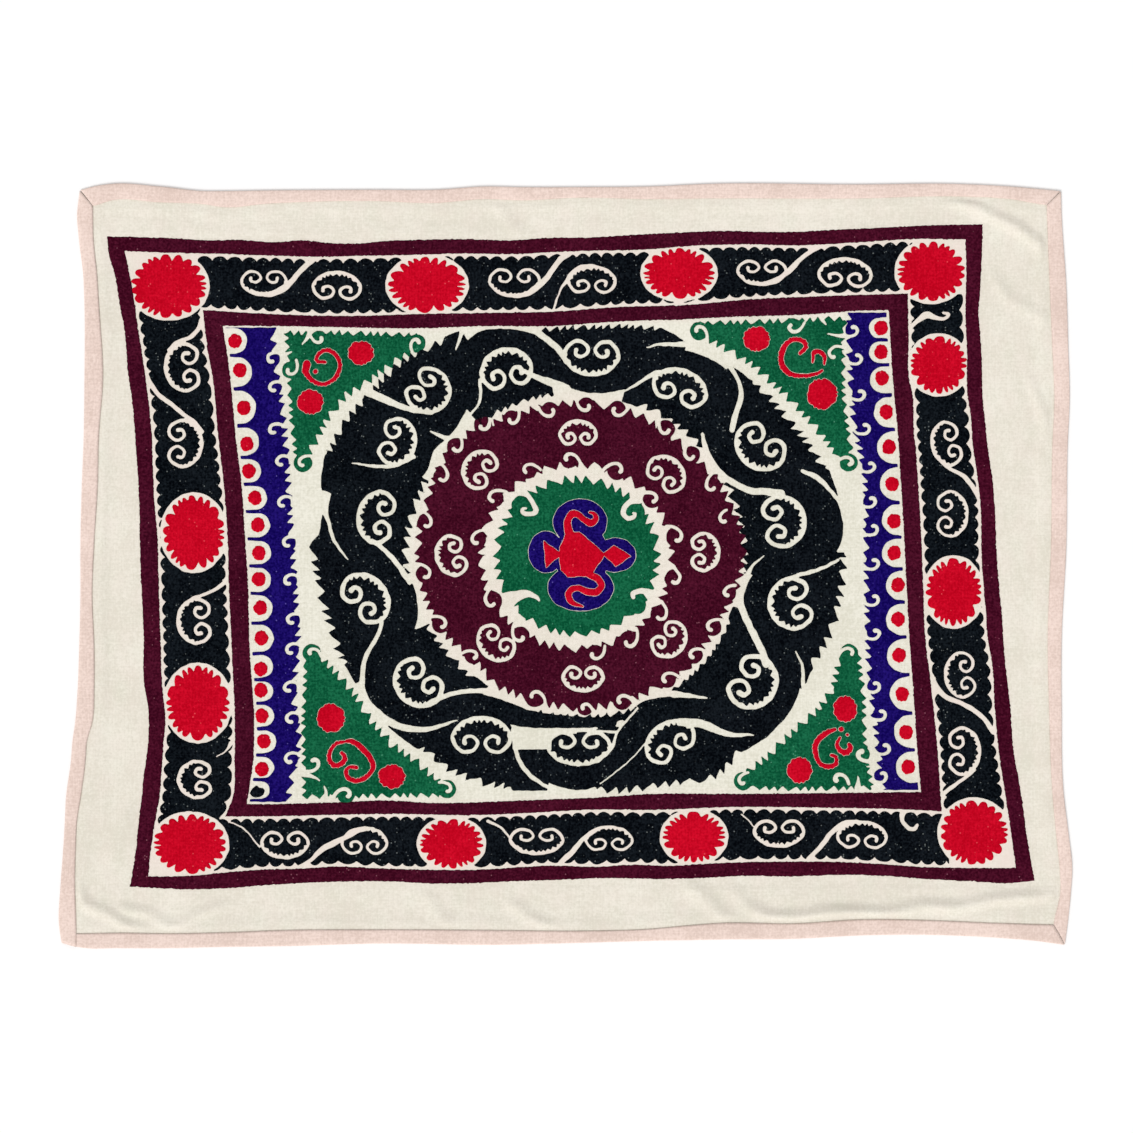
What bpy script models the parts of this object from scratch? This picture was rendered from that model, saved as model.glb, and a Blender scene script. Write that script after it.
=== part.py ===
"""Embroidered wall and bed cloth (suzani), laid flat: its solids.

One cotton ground cloth lies on the surface. Four strips of binding are folded round its edges,
so each strip has a leg under the cloth, a rounded fold outside its edge and a leg on top of it.
+X runs along the long sides, +Y across them and +Z up; the origin is under the middle of the cloth.
"""

from collections import namedtuple

import bmesh
import bpy
import numpy as np

MM = 0.001

CLOTH_THICK = 1.2 * MM
BINDING_THICK = 1.0 * MM
GAP = 0.5 * MM
GRID_PITCH = 20.0 * MM
MARGIN_PITCH = 10.0 * MM
STATION_PITCH = 20.0 * MM

# Heights of the middle of each layer above the surface.
CLOTH_LOW = CLOTH_THICK / 2
BINDING_LOW = BINDING_THICK / 2
CLOTH_HIGH = BINDING_THICK + GAP + CLOTH_THICK / 2
BINDING_HIGH = CLOTH_HIGH + CLOTH_THICK / 2 + GAP + BINDING_THICK / 2
FOLD_RADIUS = (BINDING_HIGH - BINDING_LOW) / 2
FOLD_BACK = FOLD_RADIUS + BINDING_THICK / 2  # from the outer edge to where the rounded fold starts

CLOTH_REACH = 0.84  # share of the binding's width that the cloth reaches under it
RAMP_START = 3.0 * MM  # where the cloth starts to come down to the surface, inside the seam
RAMP_END = 28.0 * MM
FADE_LENGTH = 9.0 * MM  # folds die out over this length before the seam
RIPPLE_LENGTH = 74.0 * MM  # the bindings pucker in long shallow ripples
RIPPLE_SWAY = 130.0 * MM
TOP_RIPPLE = 0.5 * MM
LOW_RIPPLE = 0.12 * MM
CLOTH_RIPPLE = 0.08 * MM
MITRE_GAP = 0.22 * MM
MITRE_FOLD_GAP = 0.45 * MM  # more room where the rounded folds of two strips meet

# Each side's outer edge and binding seam, in mm from the middle of the cloth.
Station = namedtuple("Station", "along edge seam")
TOP = (
    Station(-730, 563, 540), Station(-708, 569, 540), Station(-681, 573, 548),
    Station(-609, 569, 545), Station(-541, 562, 542), Station(-516, 562, 538),
    Station(-448, 563, 543), Station(-285, 564, 547), Station(-198, 564, 544),
    Station(-118, 569, 550), Station(-69, 568, 548), Station(16, 568, 552),
    Station(126, 569, 550), Station(216, 573, 551), Station(441, 572, 551),
    Station(578, 573, 554), Station(665, 569, 550), Station(722, 564, 541),
    Station(742, 562, 540),
)
BOTTOM = (
    Station(-760, -563, -551), Station(-733, -571, -551), Station(-667, -573, -550),
    Station(-600, -573, -551), Station(-505, -571, -549), Station(-426, -570, -546),
    Station(-273, -566, -545), Station(-106, -568, -546), Station(21, -565, -547),
    Station(127, -562, -544), Station(181, -561, -539), Station(235, -560, -535),
    Station(342, -559, -536), Station(441, -554, -530), Station(541, -553, -531),
    Station(639, -557, -535), Station(703, -562, -537), Station(748, -568, -538),
)
LEFT = (
    Station(-567, -756, -734), Station(-540, -760, -734), Station(-481, -758, -736),
    Station(-427, -754, -735), Station(-375, -751, -732), Station(-351, -750, -728),
    Station(-290, -742, -720), Station(-263, -740, -718), Station(-235, -736, -710),
    Station(-181, -732, -707), Station(-127, -730, -707), Station(-42, -728, -710),
    Station(37, -728, -707), Station(118, -726, -702), Station(198, -723, -700),
    Station(279, -722, -694), Station(391, -722, -700), Station(438, -724, -703),
    Station(487, -730, -708), Station(526, -733, -709), Station(563, -729, -709),
)
RIGHT = (
    Station(-567, 748, 730), Station(-537, 752, 731), Station(-488, 757, 741),
    Station(-454, 759, 740), Station(-406, 754, 735), Station(-340, 746, 729),
    Station(-212, 743, 724), Station(-111, 743, 722), Station(30, 750, 727),
    Station(180, 752, 729), Station(252, 755, 732), Station(324, 753, 729),
    Station(418, 750, 725), Station(526, 743, 721), Station(562, 742, 720),
)

# The main folds of the unembroidered margins, in mm: soft ridges that rise along a crooked line.
Fold = namedtuple("Fold", "height reach line")
FOLDS = (
    Fold(5.0, 17, ((574, 553), (626, 530), (674, 508), (724, 470))),
    Fold(3.0, 13, ((636, 438), (664, 400), (728, 366))),
    Fold(2.5, 13, ((694, 282), (710, 240), (722, 202))),
    Fold(2.5, 14, ((-106, 546), (-72, 497))),
    Fold(4.5, 16, ((-738, -478), (-722, -506), (-682, -524), (-636, -552))),
    Fold(3.5, 14, ((-672, -512), (-624, -520), (-590, -546))),
    Fold(3.5, 13, ((-594, -548), (-570, -532), (-544, -520), (-514, -508))),
    Fold(3.0, 18, ((-690, -440), (-668, -396), (-652, -366))),
    Fold(3.0, 15, ((-212, -488), (-190, -524), (-168, -546))),
    Fold(4.0, 15, ((-88, -500), (-58, -524), (-18, -548))),
    Fold(4.0, 17, ((180, -474), (208, -498), (246, -538))),
    Fold(6.0, 16, ((250, -484), (270, -508), (302, -526), (352, -528), (388, -518),
                   (436, -518), (488, -522), (530, -508), (586, -512), (640, -500), (738, -492))),
)


def curve_through(stations, field, along):
    """A smooth line through one column of a side's table, in metres: a cubic between each two rows,
    whose slope at a row is that of its neighbours."""
    x = np.array([row.along for row in stations], float) * MM
    y = np.array([getattr(row, field) for row in stations], float) * MM
    slope = np.gradient(y, x)
    at = np.clip(along, x[0], x[-1])
    k = np.clip(np.searchsorted(x, at) - 1, 0, len(x) - 2)
    step = x[k + 1] - x[k]
    f = (at - x[k]) / step
    return (
        y[k] * (2 * f**3 - 3 * f**2 + 1)
        + y[k + 1] * (3 * f**2 - 2 * f**3)
        + slope[k] * step * (f**3 - 2 * f**2 + f)
        + slope[k + 1] * step * (f**3 - f**2)
    )


def across(low_side, high_side, share, along):
    """The place between two facing sides: share runs from -1 at the low outer edge through 0 at its
    seam and 1 at the high seam to 2 at the high outer edge."""
    stops = [
        curve_through(low_side, "edge", along),
        curve_through(low_side, "seam", along),
        curve_through(high_side, "seam", along),
        curve_through(high_side, "edge", along),
    ]
    k = np.clip(np.floor(share).astype(int) + 1, 0, 2)
    stops = np.stack(np.broadcast_arrays(*stops))
    low = np.take_along_axis(stops, k[None], 0)[0]
    high = np.take_along_axis(stops, k[None] + 1, 0)[0]
    return low + (high - low) * (share - (k - 1))


def on_cloth(u, v):
    """x and y of the places with shares u along X and v along Y. The sides aren't straight, so x
    depends on y and y on x, and a few rounds settle both."""
    x = np.zeros_like(u)
    y = np.zeros_like(v)
    for _ in range(6):
        x, y = across(LEFT, RIGHT, u, y), across(BOTTOM, TOP, v, x)
    return x, y


def distance_to_line(x, y, line):
    """Distance from each place to a crooked line, and how far along the line it is, from 0 to 1."""
    points = np.array(line, float) * MM
    runs = np.linalg.norm(np.diff(points, axis=0), axis=1)
    starts = np.concatenate([[0], np.cumsum(runs)])
    best = np.full(x.shape, np.inf)
    share = np.zeros(x.shape)
    for a, b, run, start in zip(points[:-1], points[1:], runs, starts):
        t = np.clip(((x - a[0]) * (b[0] - a[0]) + (y - a[1]) * (b[1] - a[1])) / run**2, 0, 1)
        d = np.hypot(x - a[0] - t * (b[0] - a[0]), y - a[1] - t * (b[1] - a[1]))
        share = np.where(d < best, (start + t * run) / starts[-1], share)
        best = np.minimum(best, d)
    return best, share


def smooth_step(t):
    t = np.clip(t, 0, 1)
    return t * t * (3 - 2 * t)


def ripple(along):
    """Uneven ripples between 0 and 1 along a length."""
    return 0.5 + 0.5 * np.sin(2 * np.pi * along / RIPPLE_LENGTH + 2 * np.sin(along / RIPPLE_SWAY))


def inside_seam(x, y):
    """How far a place lies inside the nearest binding seam; negative under the binding."""
    return np.minimum.reduce([
        x - curve_through(LEFT, "seam", y),
        curve_through(RIGHT, "seam", y) - x,
        y - curve_through(BOTTOM, "seam", x),
        curve_through(TOP, "seam", x) - y,
    ])


def cloth_height(x, y):
    """Height of the cloth's middle: it lies on the binding's lower leg at the edges, comes down to
    the surface inside the seam, and rises again in the folds of the margins."""
    inside = inside_seam(x, y)
    on_leg = 1 - smooth_step((inside - RAMP_START) / (RAMP_END - RAMP_START))
    z = CLOTH_LOW + (CLOTH_HIGH - CLOTH_LOW + CLOTH_RIPPLE * ripple(x + y)) * on_leg
    folds = np.zeros(x.shape)
    for fold in FOLDS:
        d, share = distance_to_line(x, y, fold.line)
        ridge = np.clip(1 - (d / (fold.reach * MM)) ** 2, 0, 1) ** 2
        ends = smooth_step(4 * share + 0.35) * smooth_step(4 * (1 - share) + 0.35)
        folds = np.maximum(folds, fold.height * MM * ridge * ends)
    return z + folds * smooth_step((inside - RAMP_START) / FADE_LENGTH)


def steps_between(start, end, pitch):
    return np.linspace(start, end, max(1, round(abs(end - start) / pitch)) + 1)[1:]


def share_lines(length, fine_low, fine_high):
    """Shares at which the cloth's grid has lines: the cloth's own edges, the seams, both ends of
    the ramp, and even steps between, which are finer over the two margins."""
    def share(distance):
        return distance / length

    low = steps_between(RAMP_END, fine_low, MARGIN_PITCH)
    high = steps_between(length - fine_high, length - RAMP_END, MARGIN_PITCH)
    middle = steps_between(fine_low, length - fine_high, GRID_PITCH)
    inner = np.concatenate([[0, RAMP_START, (RAMP_START + RAMP_END) / 2, RAMP_END], low, middle, high,
                            length - np.array([(RAMP_START + RAMP_END) / 2, RAMP_START, 0])])
    return np.concatenate([[-CLOTH_REACH], share(inner), [1 + CLOTH_REACH]])


def sheet_object(name, columns, rows, place, thickness, material, collection):
    """A Blender grid of columns x rows points, whose points are moved to the place that the
    function gives for their two indices, made a sheet with Solidify."""
    shape = bmesh.new()
    bmesh.ops.create_grid(shape, x_segments=columns - 1, y_segments=rows - 1, size=1)
    shape.verts.ensure_lookup_table()
    flat = np.array([v.co for v in shape.verts])
    i = np.rint((flat[:, 0] + 1) / 2 * (columns - 1)).astype(int)
    j = np.rint((flat[:, 1] + 1) / 2 * (rows - 1)).astype(int)
    for vert, spot in zip(shape.verts, place(i, j)):
        vert.co = spot
    bmesh.ops.recalc_face_normals(shape, faces=shape.faces)
    mesh = bpy.data.meshes.new(name)
    shape.to_mesh(mesh)
    shape.free()
    mesh.materials.append(material)
    mesh.shade_smooth()
    sheet = bpy.data.objects.new(name, mesh)
    collection.objects.link(sheet)
    solidify = sheet.modifiers.new("cloth thickness", "SOLIDIFY")
    solidify.thickness = thickness
    solidify.offset = 0
    return sheet


def ground_cloth(shift, material, collection):
    """The embroidered cotton itself, from under one binding to under the other."""
    u = share_lines(1.430, 0.080, 0.100)
    v = share_lines(1.090, 0.085, 0.060)

    def place(i, j):
        x, y = on_cloth(u[i], v[j])
        return np.stack([x, y, cloth_height(x, y)], 1) + shift

    return sheet_object("ground_cloth", len(u), len(v), place, CLOTH_THICK, material, collection)


def binding_profile():
    """The folded strip seen from its end: distance in from its outer edge, height, and how far
    round the fold each point is, from 0 on a leg to 1 at the edge itself."""
    turn = np.linspace(-90, 90, 5)
    fold_in = FOLD_BACK - FOLD_RADIUS * np.cos(np.radians(turn))
    fold_up = (BINDING_LOW + BINDING_HIGH) / 2 + FOLD_RADIUS * np.sin(np.radians(turn))
    inward = np.concatenate([[np.nan], fold_in, [np.nan]])  # a leg ends at the seam, found later
    height = np.concatenate([[BINDING_LOW], fold_up, [BINDING_HIGH]])
    round_it = np.concatenate([[0], np.cos(np.radians(turn)), [0]])
    return inward, height, round_it


def binding_strip(name, side, along_x, ends, shift, material, collection):
    """One strip of binding. ends gives, for its start and its end, "mitre" where it meets the next
    strip on the diagonal, "through" where it runs on to the outer edge, and "butt" where it stops
    against a strip that runs through."""
    sides = (LEFT, RIGHT) if along_x else (BOTTOM, TOP)
    far_side = side in (TOP, RIGHT)
    inward, height, round_it = binding_profile()
    length = 1.430 if along_x else 1.090
    count = round(length / STATION_PITCH) + 1
    station = np.linspace(0, 1, count)

    def end_place(kind, low_end, across_share, fold_share):
        clearance = MITRE_GAP + MITRE_FOLD_GAP * fold_share
        outwards = -1 if low_end else 1
        seam_share = 0 if low_end else 1
        if kind == "mitre":
            return seam_share + outwards * across_share, clearance
        if kind == "through":
            return np.full_like(across_share, seam_share + outwards), np.zeros_like(clearance)
        return np.full_like(across_share, seam_share), np.full_like(clearance, GAP)

    def end_along(share, over):
        return on_cloth(share, over)[0] if along_x else on_cloth(over, share)[1]

    def place(i, j):
        middle = curve_through(side, "edge", 0.0) - curve_through(side, "seam", 0.0)
        reach = np.where(np.isnan(inward[j]), 0, 1 - inward[j] / abs(middle))
        over = 1 + reach if far_side else -reach
        start, start_gap = end_place(ends[0], True, reach, round_it[j])
        stop, stop_gap = end_place(ends[1], False, reach, round_it[j])
        first = end_along(start, over) + start_gap
        last = end_along(stop, over) - stop_gap
        along = first + (last - first) * station[i]
        edge = curve_through(side, "edge", along)
        outward = 1 if far_side else -1
        level = np.where(np.isnan(inward[j]), curve_through(side, "seam", along),
                         edge - outward * inward[j])
        ground = (along, level) if along_x else (level, along)
        lift = LOW_RIPPLE + (TOP_RIPPLE - LOW_RIPPLE) * (height[j] - BINDING_LOW) / (2 * FOLD_RADIUS)
        z = height[j] + lift * ripple(along)
        return np.stack([ground[0], ground[1], z], 1) + shift

    return sheet_object(name, count, len(height), place, BINDING_THICK, material, collection)


def middle_of_outline():
    """Centre of the finished cloth's box, so that the origin can be put under it."""
    x = np.linspace(-0.760, 0.748, 2000)
    y = np.linspace(-0.567, 0.563, 2000)
    low = np.array([curve_through(LEFT, "edge", y).min(), curve_through(BOTTOM, "edge", x).min()])
    high = np.array([curve_through(RIGHT, "edge", y).max(), curve_through(TOP, "edge", x).max()])
    return np.array([*(low + high) / 2, 0])


def cotton(name, colour, roughness):
    material = bpy.data.materials.new(name)
    material.use_nodes = True
    shader = material.node_tree.nodes["Principled BSDF"]
    shader.inputs["Base Color"].default_value = (*colour, 1)
    shader.inputs["Roughness"].default_value = roughness
    shader.inputs["Metallic"].default_value = 0
    return material


def main():
    for thing in list(bpy.data.objects):
        bpy.data.objects.remove(thing)
    suzani = bpy.data.collections.new("suzani")
    bpy.context.scene.collection.children.link(suzani)
    cream = cotton("cream cotton", (0.78, 0.74, 0.62), 0.9)
    pink = cotton("pink binding cotton", (0.82, 0.60, 0.54), 0.88)
    shift = -middle_of_outline()
    ground_cloth(shift, cream, suzani)
    binding_strip("binding_top", TOP, True, ("mitre", "mitre"), shift, pink, suzani)
    binding_strip("binding_bottom", BOTTOM, True, ("butt", "mitre"), shift, pink, suzani)
    binding_strip("binding_left", LEFT, False, ("through", "mitre"), shift, pink, suzani)
    binding_strip("binding_right", RIGHT, False, ("mitre", "mitre"), shift, pink, suzani)


main()
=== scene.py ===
# %% [markdown]
# A suzani is a cotton cloth covered with laid and couched stitching in bright thread. This one is about
# 1.5 m long. It has a ring medallion, four corner sprays, dotted side panels and a scroll border between
# two plain bands, and a folded pink binding is sewn round its edges.
# The cloth and its binding are sheets laid flat. Each stretch of stitching is a thin padded surface that
# stands about a millimetre off the cloth, because that step is what catches the light on the real one.

# %% Frame
import math
from collections import namedtuple

import bpy
import numpy as np
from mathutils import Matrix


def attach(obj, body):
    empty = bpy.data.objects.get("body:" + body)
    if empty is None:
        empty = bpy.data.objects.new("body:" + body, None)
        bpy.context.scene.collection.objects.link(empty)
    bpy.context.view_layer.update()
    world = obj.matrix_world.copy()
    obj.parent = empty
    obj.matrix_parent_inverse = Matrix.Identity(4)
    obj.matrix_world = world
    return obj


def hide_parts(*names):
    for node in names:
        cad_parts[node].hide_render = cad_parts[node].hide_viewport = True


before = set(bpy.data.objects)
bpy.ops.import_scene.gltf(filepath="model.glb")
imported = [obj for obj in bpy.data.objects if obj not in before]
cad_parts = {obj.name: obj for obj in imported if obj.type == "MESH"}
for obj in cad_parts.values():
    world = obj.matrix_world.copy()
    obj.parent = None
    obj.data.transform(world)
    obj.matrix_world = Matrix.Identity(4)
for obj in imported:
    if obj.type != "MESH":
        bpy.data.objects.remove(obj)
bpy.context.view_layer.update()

# %% [markdown]
# Everything is placed in millimetres from the middle of the embroidery. Places on the pattern are noted as
# photo pixels, since that is how the pattern was surveyed, and one function turns them into millimetres.

# %% Units and places
MM = 0.001
PHOTO_SIZE = 1133
PHOTO_MIDDLE = 566
PIXEL = 1.5  # millimetres on the cloth


def mm(places):
    """Photo pixels to millimetres: x to the right and y up from the middle of the photo."""
    places = np.asarray(places, float)
    across, up = places[..., 0] - PHOTO_MIDDLE, PHOTO_MIDDLE - places[..., 1]
    return np.stack([across * PIXEL, up * PIXEL], -1)


def smooth_step(t):
    """0 below 0, 1 above 1, and 3t^2 - 2t^3 between."""
    t = np.clip(t, 0, 1)
    return t * t * (3 - 2 * t)


def cubic_line(x, y, at):
    """A smooth line through points: between two of them a cubic whose end slopes are those of the
    neighbouring points."""
    x = np.asarray(x, float)
    y = np.asarray(y, float)
    slope = np.gradient(y, x)
    at = np.clip(at, x[0], x[-1])
    k = np.clip(np.searchsorted(x, at) - 1, 0, len(x) - 2)
    step = x[k + 1] - x[k]
    f = (at - x[k]) / step
    return (
        y[k] * (2 * f**3 - 3 * f**2 + 1)
        + y[k + 1] * (3 * f**2 - 2 * f**3)
        + slope[k] * step * (f**3 - 2 * f**2 + f)
        + slope[k + 1] * step * (f**3 - f**2)
    )


def waves(x, y, length, seed, count=7):
    """Smooth unevenness between about -1 and 1: a few sine waves of about one length that run in
    different directions."""
    dice = np.random.default_rng(seed)
    total = np.zeros(np.broadcast(x, y).shape)
    for turn, stretch, phase in dice.random((count, 3)):
        angle = math.pi * turn
        wave = 2 * math.pi / (length * (0.7 + 0.8 * stretch))
        total += np.sin(wave * (x * math.cos(angle) + y * math.sin(angle)) + 2 * math.pi * phase)
    return total / math.sqrt(2 * count)


# %% [markdown]
# Both edges of the binding wander, as hand-cut cotton does. Each side is noted as a row of stations: a
# place along the side, the outer edge there and the seam there. The folds of the bare margins are noted
# too, as crooked lines with a height and a reach.

# %% Outline and folds
Station = namedtuple("Station", "along edge seam")


def named_rows(kind, rows):
    """Plain rows of numbers, with a name for each number."""
    return tuple(kind(*row) for row in rows)


TOP = named_rows(Station, (
    (-730, 563, 540), (-708, 569, 540), (-681, 573, 548), (-609, 569, 545), (-541, 562, 542),
    (-516, 562, 538), (-448, 563, 543), (-285, 564, 547), (-198, 564, 544), (-118, 569, 550),
    (-69, 568, 548), (16, 568, 552), (126, 569, 550), (216, 573, 551), (441, 572, 551),
    (578, 573, 554), (665, 569, 550), (722, 564, 541), (742, 562, 540),
))
BOTTOM = named_rows(Station, (
    (-760, -563, -551), (-733, -571, -551), (-667, -573, -550), (-600, -573, -551),
    (-505, -571, -549), (-426, -570, -546), (-273, -566, -545), (-106, -568, -546), (21, -565, -547),
    (127, -562, -544), (181, -561, -539), (235, -560, -535), (342, -559, -536), (441, -554, -530),
    (541, -553, -531), (639, -557, -535), (703, -562, -537), (748, -568, -538),
))
LEFT = named_rows(Station, (
    (-567, -756, -734), (-540, -760, -734), (-481, -758, -736), (-427, -754, -735),
    (-375, -751, -732), (-351, -750, -728), (-290, -742, -720), (-263, -740, -718),
    (-235, -736, -710), (-181, -732, -707), (-127, -730, -707), (-42, -728, -710), (37, -728, -707),
    (118, -726, -702), (198, -723, -700), (279, -722, -694), (391, -722, -700), (438, -724, -703),
    (487, -730, -708), (526, -733, -709), (563, -729, -709),
))
RIGHT = named_rows(Station, (
    (-567, 748, 730), (-537, 752, 731), (-488, 757, 741), (-454, 759, 740), (-406, 754, 735),
    (-340, 746, 729), (-212, 743, 724), (-111, 743, 722), (30, 750, 727), (180, 752, 729),
    (252, 755, 732), (324, 753, 729), (418, 750, 725), (526, 743, 721), (562, 742, 720),
))
Fold = namedtuple("Fold", "height reach line")
FOLDS = (
    Fold(5.0, 17, ((574, 553), (626, 530), (674, 508), (724, 470))),
    Fold(3.0, 13, ((636, 438), (664, 400), (728, 366))),
    Fold(2.5, 13, ((694, 282), (710, 240), (722, 202))),
    Fold(2.5, 14, ((-106, 546), (-72, 497))),
    Fold(4.5, 16, ((-738, -478), (-722, -506), (-682, -524), (-636, -552))),
    Fold(3.5, 14, ((-672, -512), (-624, -520), (-590, -546))),
    Fold(3.5, 13, ((-594, -548), (-570, -532), (-544, -520), (-514, -508))),
    Fold(3.0, 18, ((-690, -440), (-668, -396), (-652, -366))),
    Fold(3.0, 15, ((-212, -488), (-190, -524), (-168, -546))),
    Fold(4.0, 15, ((-88, -500), (-58, -524), (-18, -548))),
    Fold(4.0, 17, ((180, -474), (208, -498), (246, -538))),
    Fold(6.0, 16, ((250, -484), (270, -508), (302, -526), (352, -528), (388, -518),
                   (436, -518), (488, -522), (530, -508), (586, -512), (640, -500), (738, -492))),
)
# Thin pressed creases, sharper than the folds.
CREASES = (
    Fold(0.7, 3.0, ((4, -474), (4, -543))),
    Fold(0.7, 3.0, ((73, -474), (74, -545))),
    Fold(0.8, 4.0, ((-597, 530), (-543, 504))),
    Fold(0.7, 4.0, ((-700, 345), (-645, 338))),
    Fold(0.6, 4.0, ((660, 452), (716, 425))),
    Fold(0.6, 4.0, ((664, 120), (716, 96))),
    Fold(0.6, 4.0, ((672, -90), (720, -150))),
    Fold(0.6, 4.0, ((-716, -60), (-650, -96))),
    Fold(0.6, 4.0, ((-340, 540), (-300, 505), (-236, 500))),
    Fold(0.6, 4.0, ((230, 545), (262, 520), (330, 512))),
)


def side_line(stations, field, along):
    """Where a side's outer edge or its seam lies, at a place along the side."""
    return cubic_line([row.along for row in stations], [getattr(row, field) for row in stations], along)


def middle_between(low_side, high_side):
    """Half way between the furthest points of two facing outer edges."""
    along = np.linspace(low_side[0].along, low_side[-1].along, 2000)
    return (side_line(low_side, "edge", along).min() + side_line(high_side, "edge", along).max()) / 2


MIDDLE_X = middle_between(LEFT, RIGHT)
MIDDLE_Y = middle_between(BOTTOM, TOP)
print("middle of the outline", round(MIDDLE_X, 2), round(MIDDLE_Y, 2))

# %% [markdown]
# The cloth lies on the table, rises over the binding's lower leg at its edges, and rises again in the
# folds. Its height is one function of the place, so that the stitching can follow it exactly. Sewing draws
# the cloth up a little, and that shows as small puckers just outside the embroidery.

# %% Lie of the cloth
CLOTH_THICK = 1.0
BINDING_THICK = 0.8
LAYER_GAP = 0.5
SOLID_CLOTH = 1.2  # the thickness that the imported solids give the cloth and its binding
SOLID_BINDING = 1.0
CLOTH_LOW = SOLID_CLOTH / 2
BINDING_LOW = SOLID_BINDING / 2
CLOTH_HIGH = SOLID_BINDING + LAYER_GAP + SOLID_CLOTH / 2
BINDING_HIGH = CLOTH_HIGH + SOLID_CLOTH / 2 + LAYER_GAP + SOLID_BINDING / 2
FOLD_RADIUS = (BINDING_HIGH - BINDING_LOW) / 2
FOLD_BACK = FOLD_RADIUS + SOLID_BINDING / 2
RAMP_START = 3.0
RAMP_END = 28.0
FADE_LENGTH = 9.0
EMBROIDERED = mm([[107, 236], [1036, 886]])  # corners of the stitched rectangle
FOLD_POWER = 1.6  # a lower power makes a sharper ridge
CREASE_POWER = 1.2
PUCKER_LENGTH = 14.0
PUCKER_HEIGHT = 0.35
PUCKER_REACH = 14.0  # how far from the stitching the puckers fade out
PUCKER_RISE = 4.0
PUCKER_SWAY = 4.0
SWELL_HEIGHT = 0.7
SWELL_LENGTH = 110.0
RIPPLE_HEIGHT = 0.22
RIPPLE_LENGTH = 24.0
MARGIN_BLEND = 8.0  # the width over which stitched, stiffer cloth turns into bare cloth


def distance_to_line(x, y, line):
    """Distance from each place to a crooked line, and the share of the line's length at the nearest
    point."""
    points = np.array(line, float)
    runs = np.linalg.norm(np.diff(points, axis=0), axis=1)
    starts = np.concatenate([[0], np.cumsum(runs)])
    best = np.full(np.shape(x), np.inf)
    share = np.zeros(np.shape(x))
    for a, b, run, start in zip(points[:-1], points[1:], runs, starts):
        t = np.clip(((x - a[0]) * (b[0] - a[0]) + (y - a[1]) * (b[1] - a[1])) / run**2, 0, 1)
        d = np.hypot(x - a[0] - t * (b[0] - a[0]), y - a[1] - t * (b[1] - a[1]))
        share = np.where(d < best, (start + t * run) / starts[-1], share)
        best = np.minimum(best, d)
    return best, share


def fold_ridge(x, y, fold, power):
    """Height times (1 - (distance / reach)^power)^2 across the line, fading at both its ends."""
    d, share = distance_to_line(x, y, fold.line)
    ridge = np.clip(1 - (d / fold.reach) ** power, 0, 1) ** 2
    return fold.height * ridge * smooth_step(4 * share + 0.35) * smooth_step(4 * (1 - share) + 0.35)


def inside_seam(x, y):
    """How far a place lies inside the nearest binding seam; negative under the binding."""
    return np.minimum.reduce([
        x - side_line(LEFT, "seam", y),
        side_line(RIGHT, "seam", y) - x,
        y - side_line(BOTTOM, "seam", x),
        side_line(TOP, "seam", x) - y,
    ])


def outside_stitching(x, y):
    """Distance outwards from the stitched rectangle, negative inside it."""
    left, top = EMBROIDERED[0]
    right, bottom = EMBROIDERED[1]
    return np.maximum.reduce([left - x, x - right, bottom - y, y - top])


def cloth_height(x, y):
    """Height of the cloth's middle layer: the ramp at the edges, plus folds, creases, swell, ripples and
    puckers."""
    inside = inside_seam(x, y)
    free = smooth_step((inside - RAMP_START) / FADE_LENGTH)
    on_leg = 1 - smooth_step((inside - RAMP_START) / (RAMP_END - RAMP_START))
    z = CLOTH_LOW + (CLOTH_HIGH - CLOTH_LOW) * on_leg
    folds = np.zeros(np.shape(x))
    for fold in FOLDS:
        folds = np.maximum(folds, fold_ridge(x, y, fold, FOLD_POWER))
    for crease in CREASES:
        folds = folds + fold_ridge(x, y, crease, CREASE_POWER)
    out = outside_stitching(x, y)
    bare = smooth_step(out / MARGIN_BLEND + 0.5)
    swell = 0.5 + 0.5 * np.clip(waves(x, y, SWELL_LENGTH, seed=5), -1, 1)
    swell = SWELL_HEIGHT * swell * (0.35 + 0.65 * bare)
    ripple = RIPPLE_HEIGHT * (1 + np.clip(waves(x, y, RIPPLE_LENGTH, seed=8), -1, 1)) * bare
    beside = smooth_step(out / PUCKER_RISE) * np.exp(-np.clip(out, 0, None) / PUCKER_REACH)
    along = x + y + PUCKER_SWAY * waves(x, y, 60, seed=9)
    pucker = PUCKER_HEIGHT * beside * (0.5 + 0.5 * np.sin(2 * np.pi * along / PUCKER_LENGTH))
    return z + (folds + swell + ripple + pucker) * free


def cloth_top(x, y):
    """Height of the cloth's upper face: its middle layer plus half its thickness."""
    return cloth_height(x, y) + CLOTH_THICK / 2


print("cloth's middle layer from", CLOTH_LOW, "to", CLOTH_HIGH, "mm over the table, before its folds")

# %% [markdown]
# A finish belongs to the fibre: matt cotton for the ground and the binding, and thick cotton thread for
# the stitching. Both need their threads to show. So two node groups are built once, a weave and a stitch,
# and each material gives them its own colours.

# %% Node helpers
def feed(tree, socket, value):
    """Gives a socket a number or a colour, or links another node's output to it."""
    if isinstance(value, bpy.types.NodeSocket):
        tree.links.new(value, socket)
    else:
        socket.default_value = value


def add_node(tree, kind, sockets=None, **settings):
    """A node with its settings, and with its named sockets fed."""
    node = tree.nodes.new(kind)
    for name, value in settings.items():
        setattr(node, name, value)
    for name, value in (sockets or {}).items():
        feed(tree, node.inputs[name], value)
    return node


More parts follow.
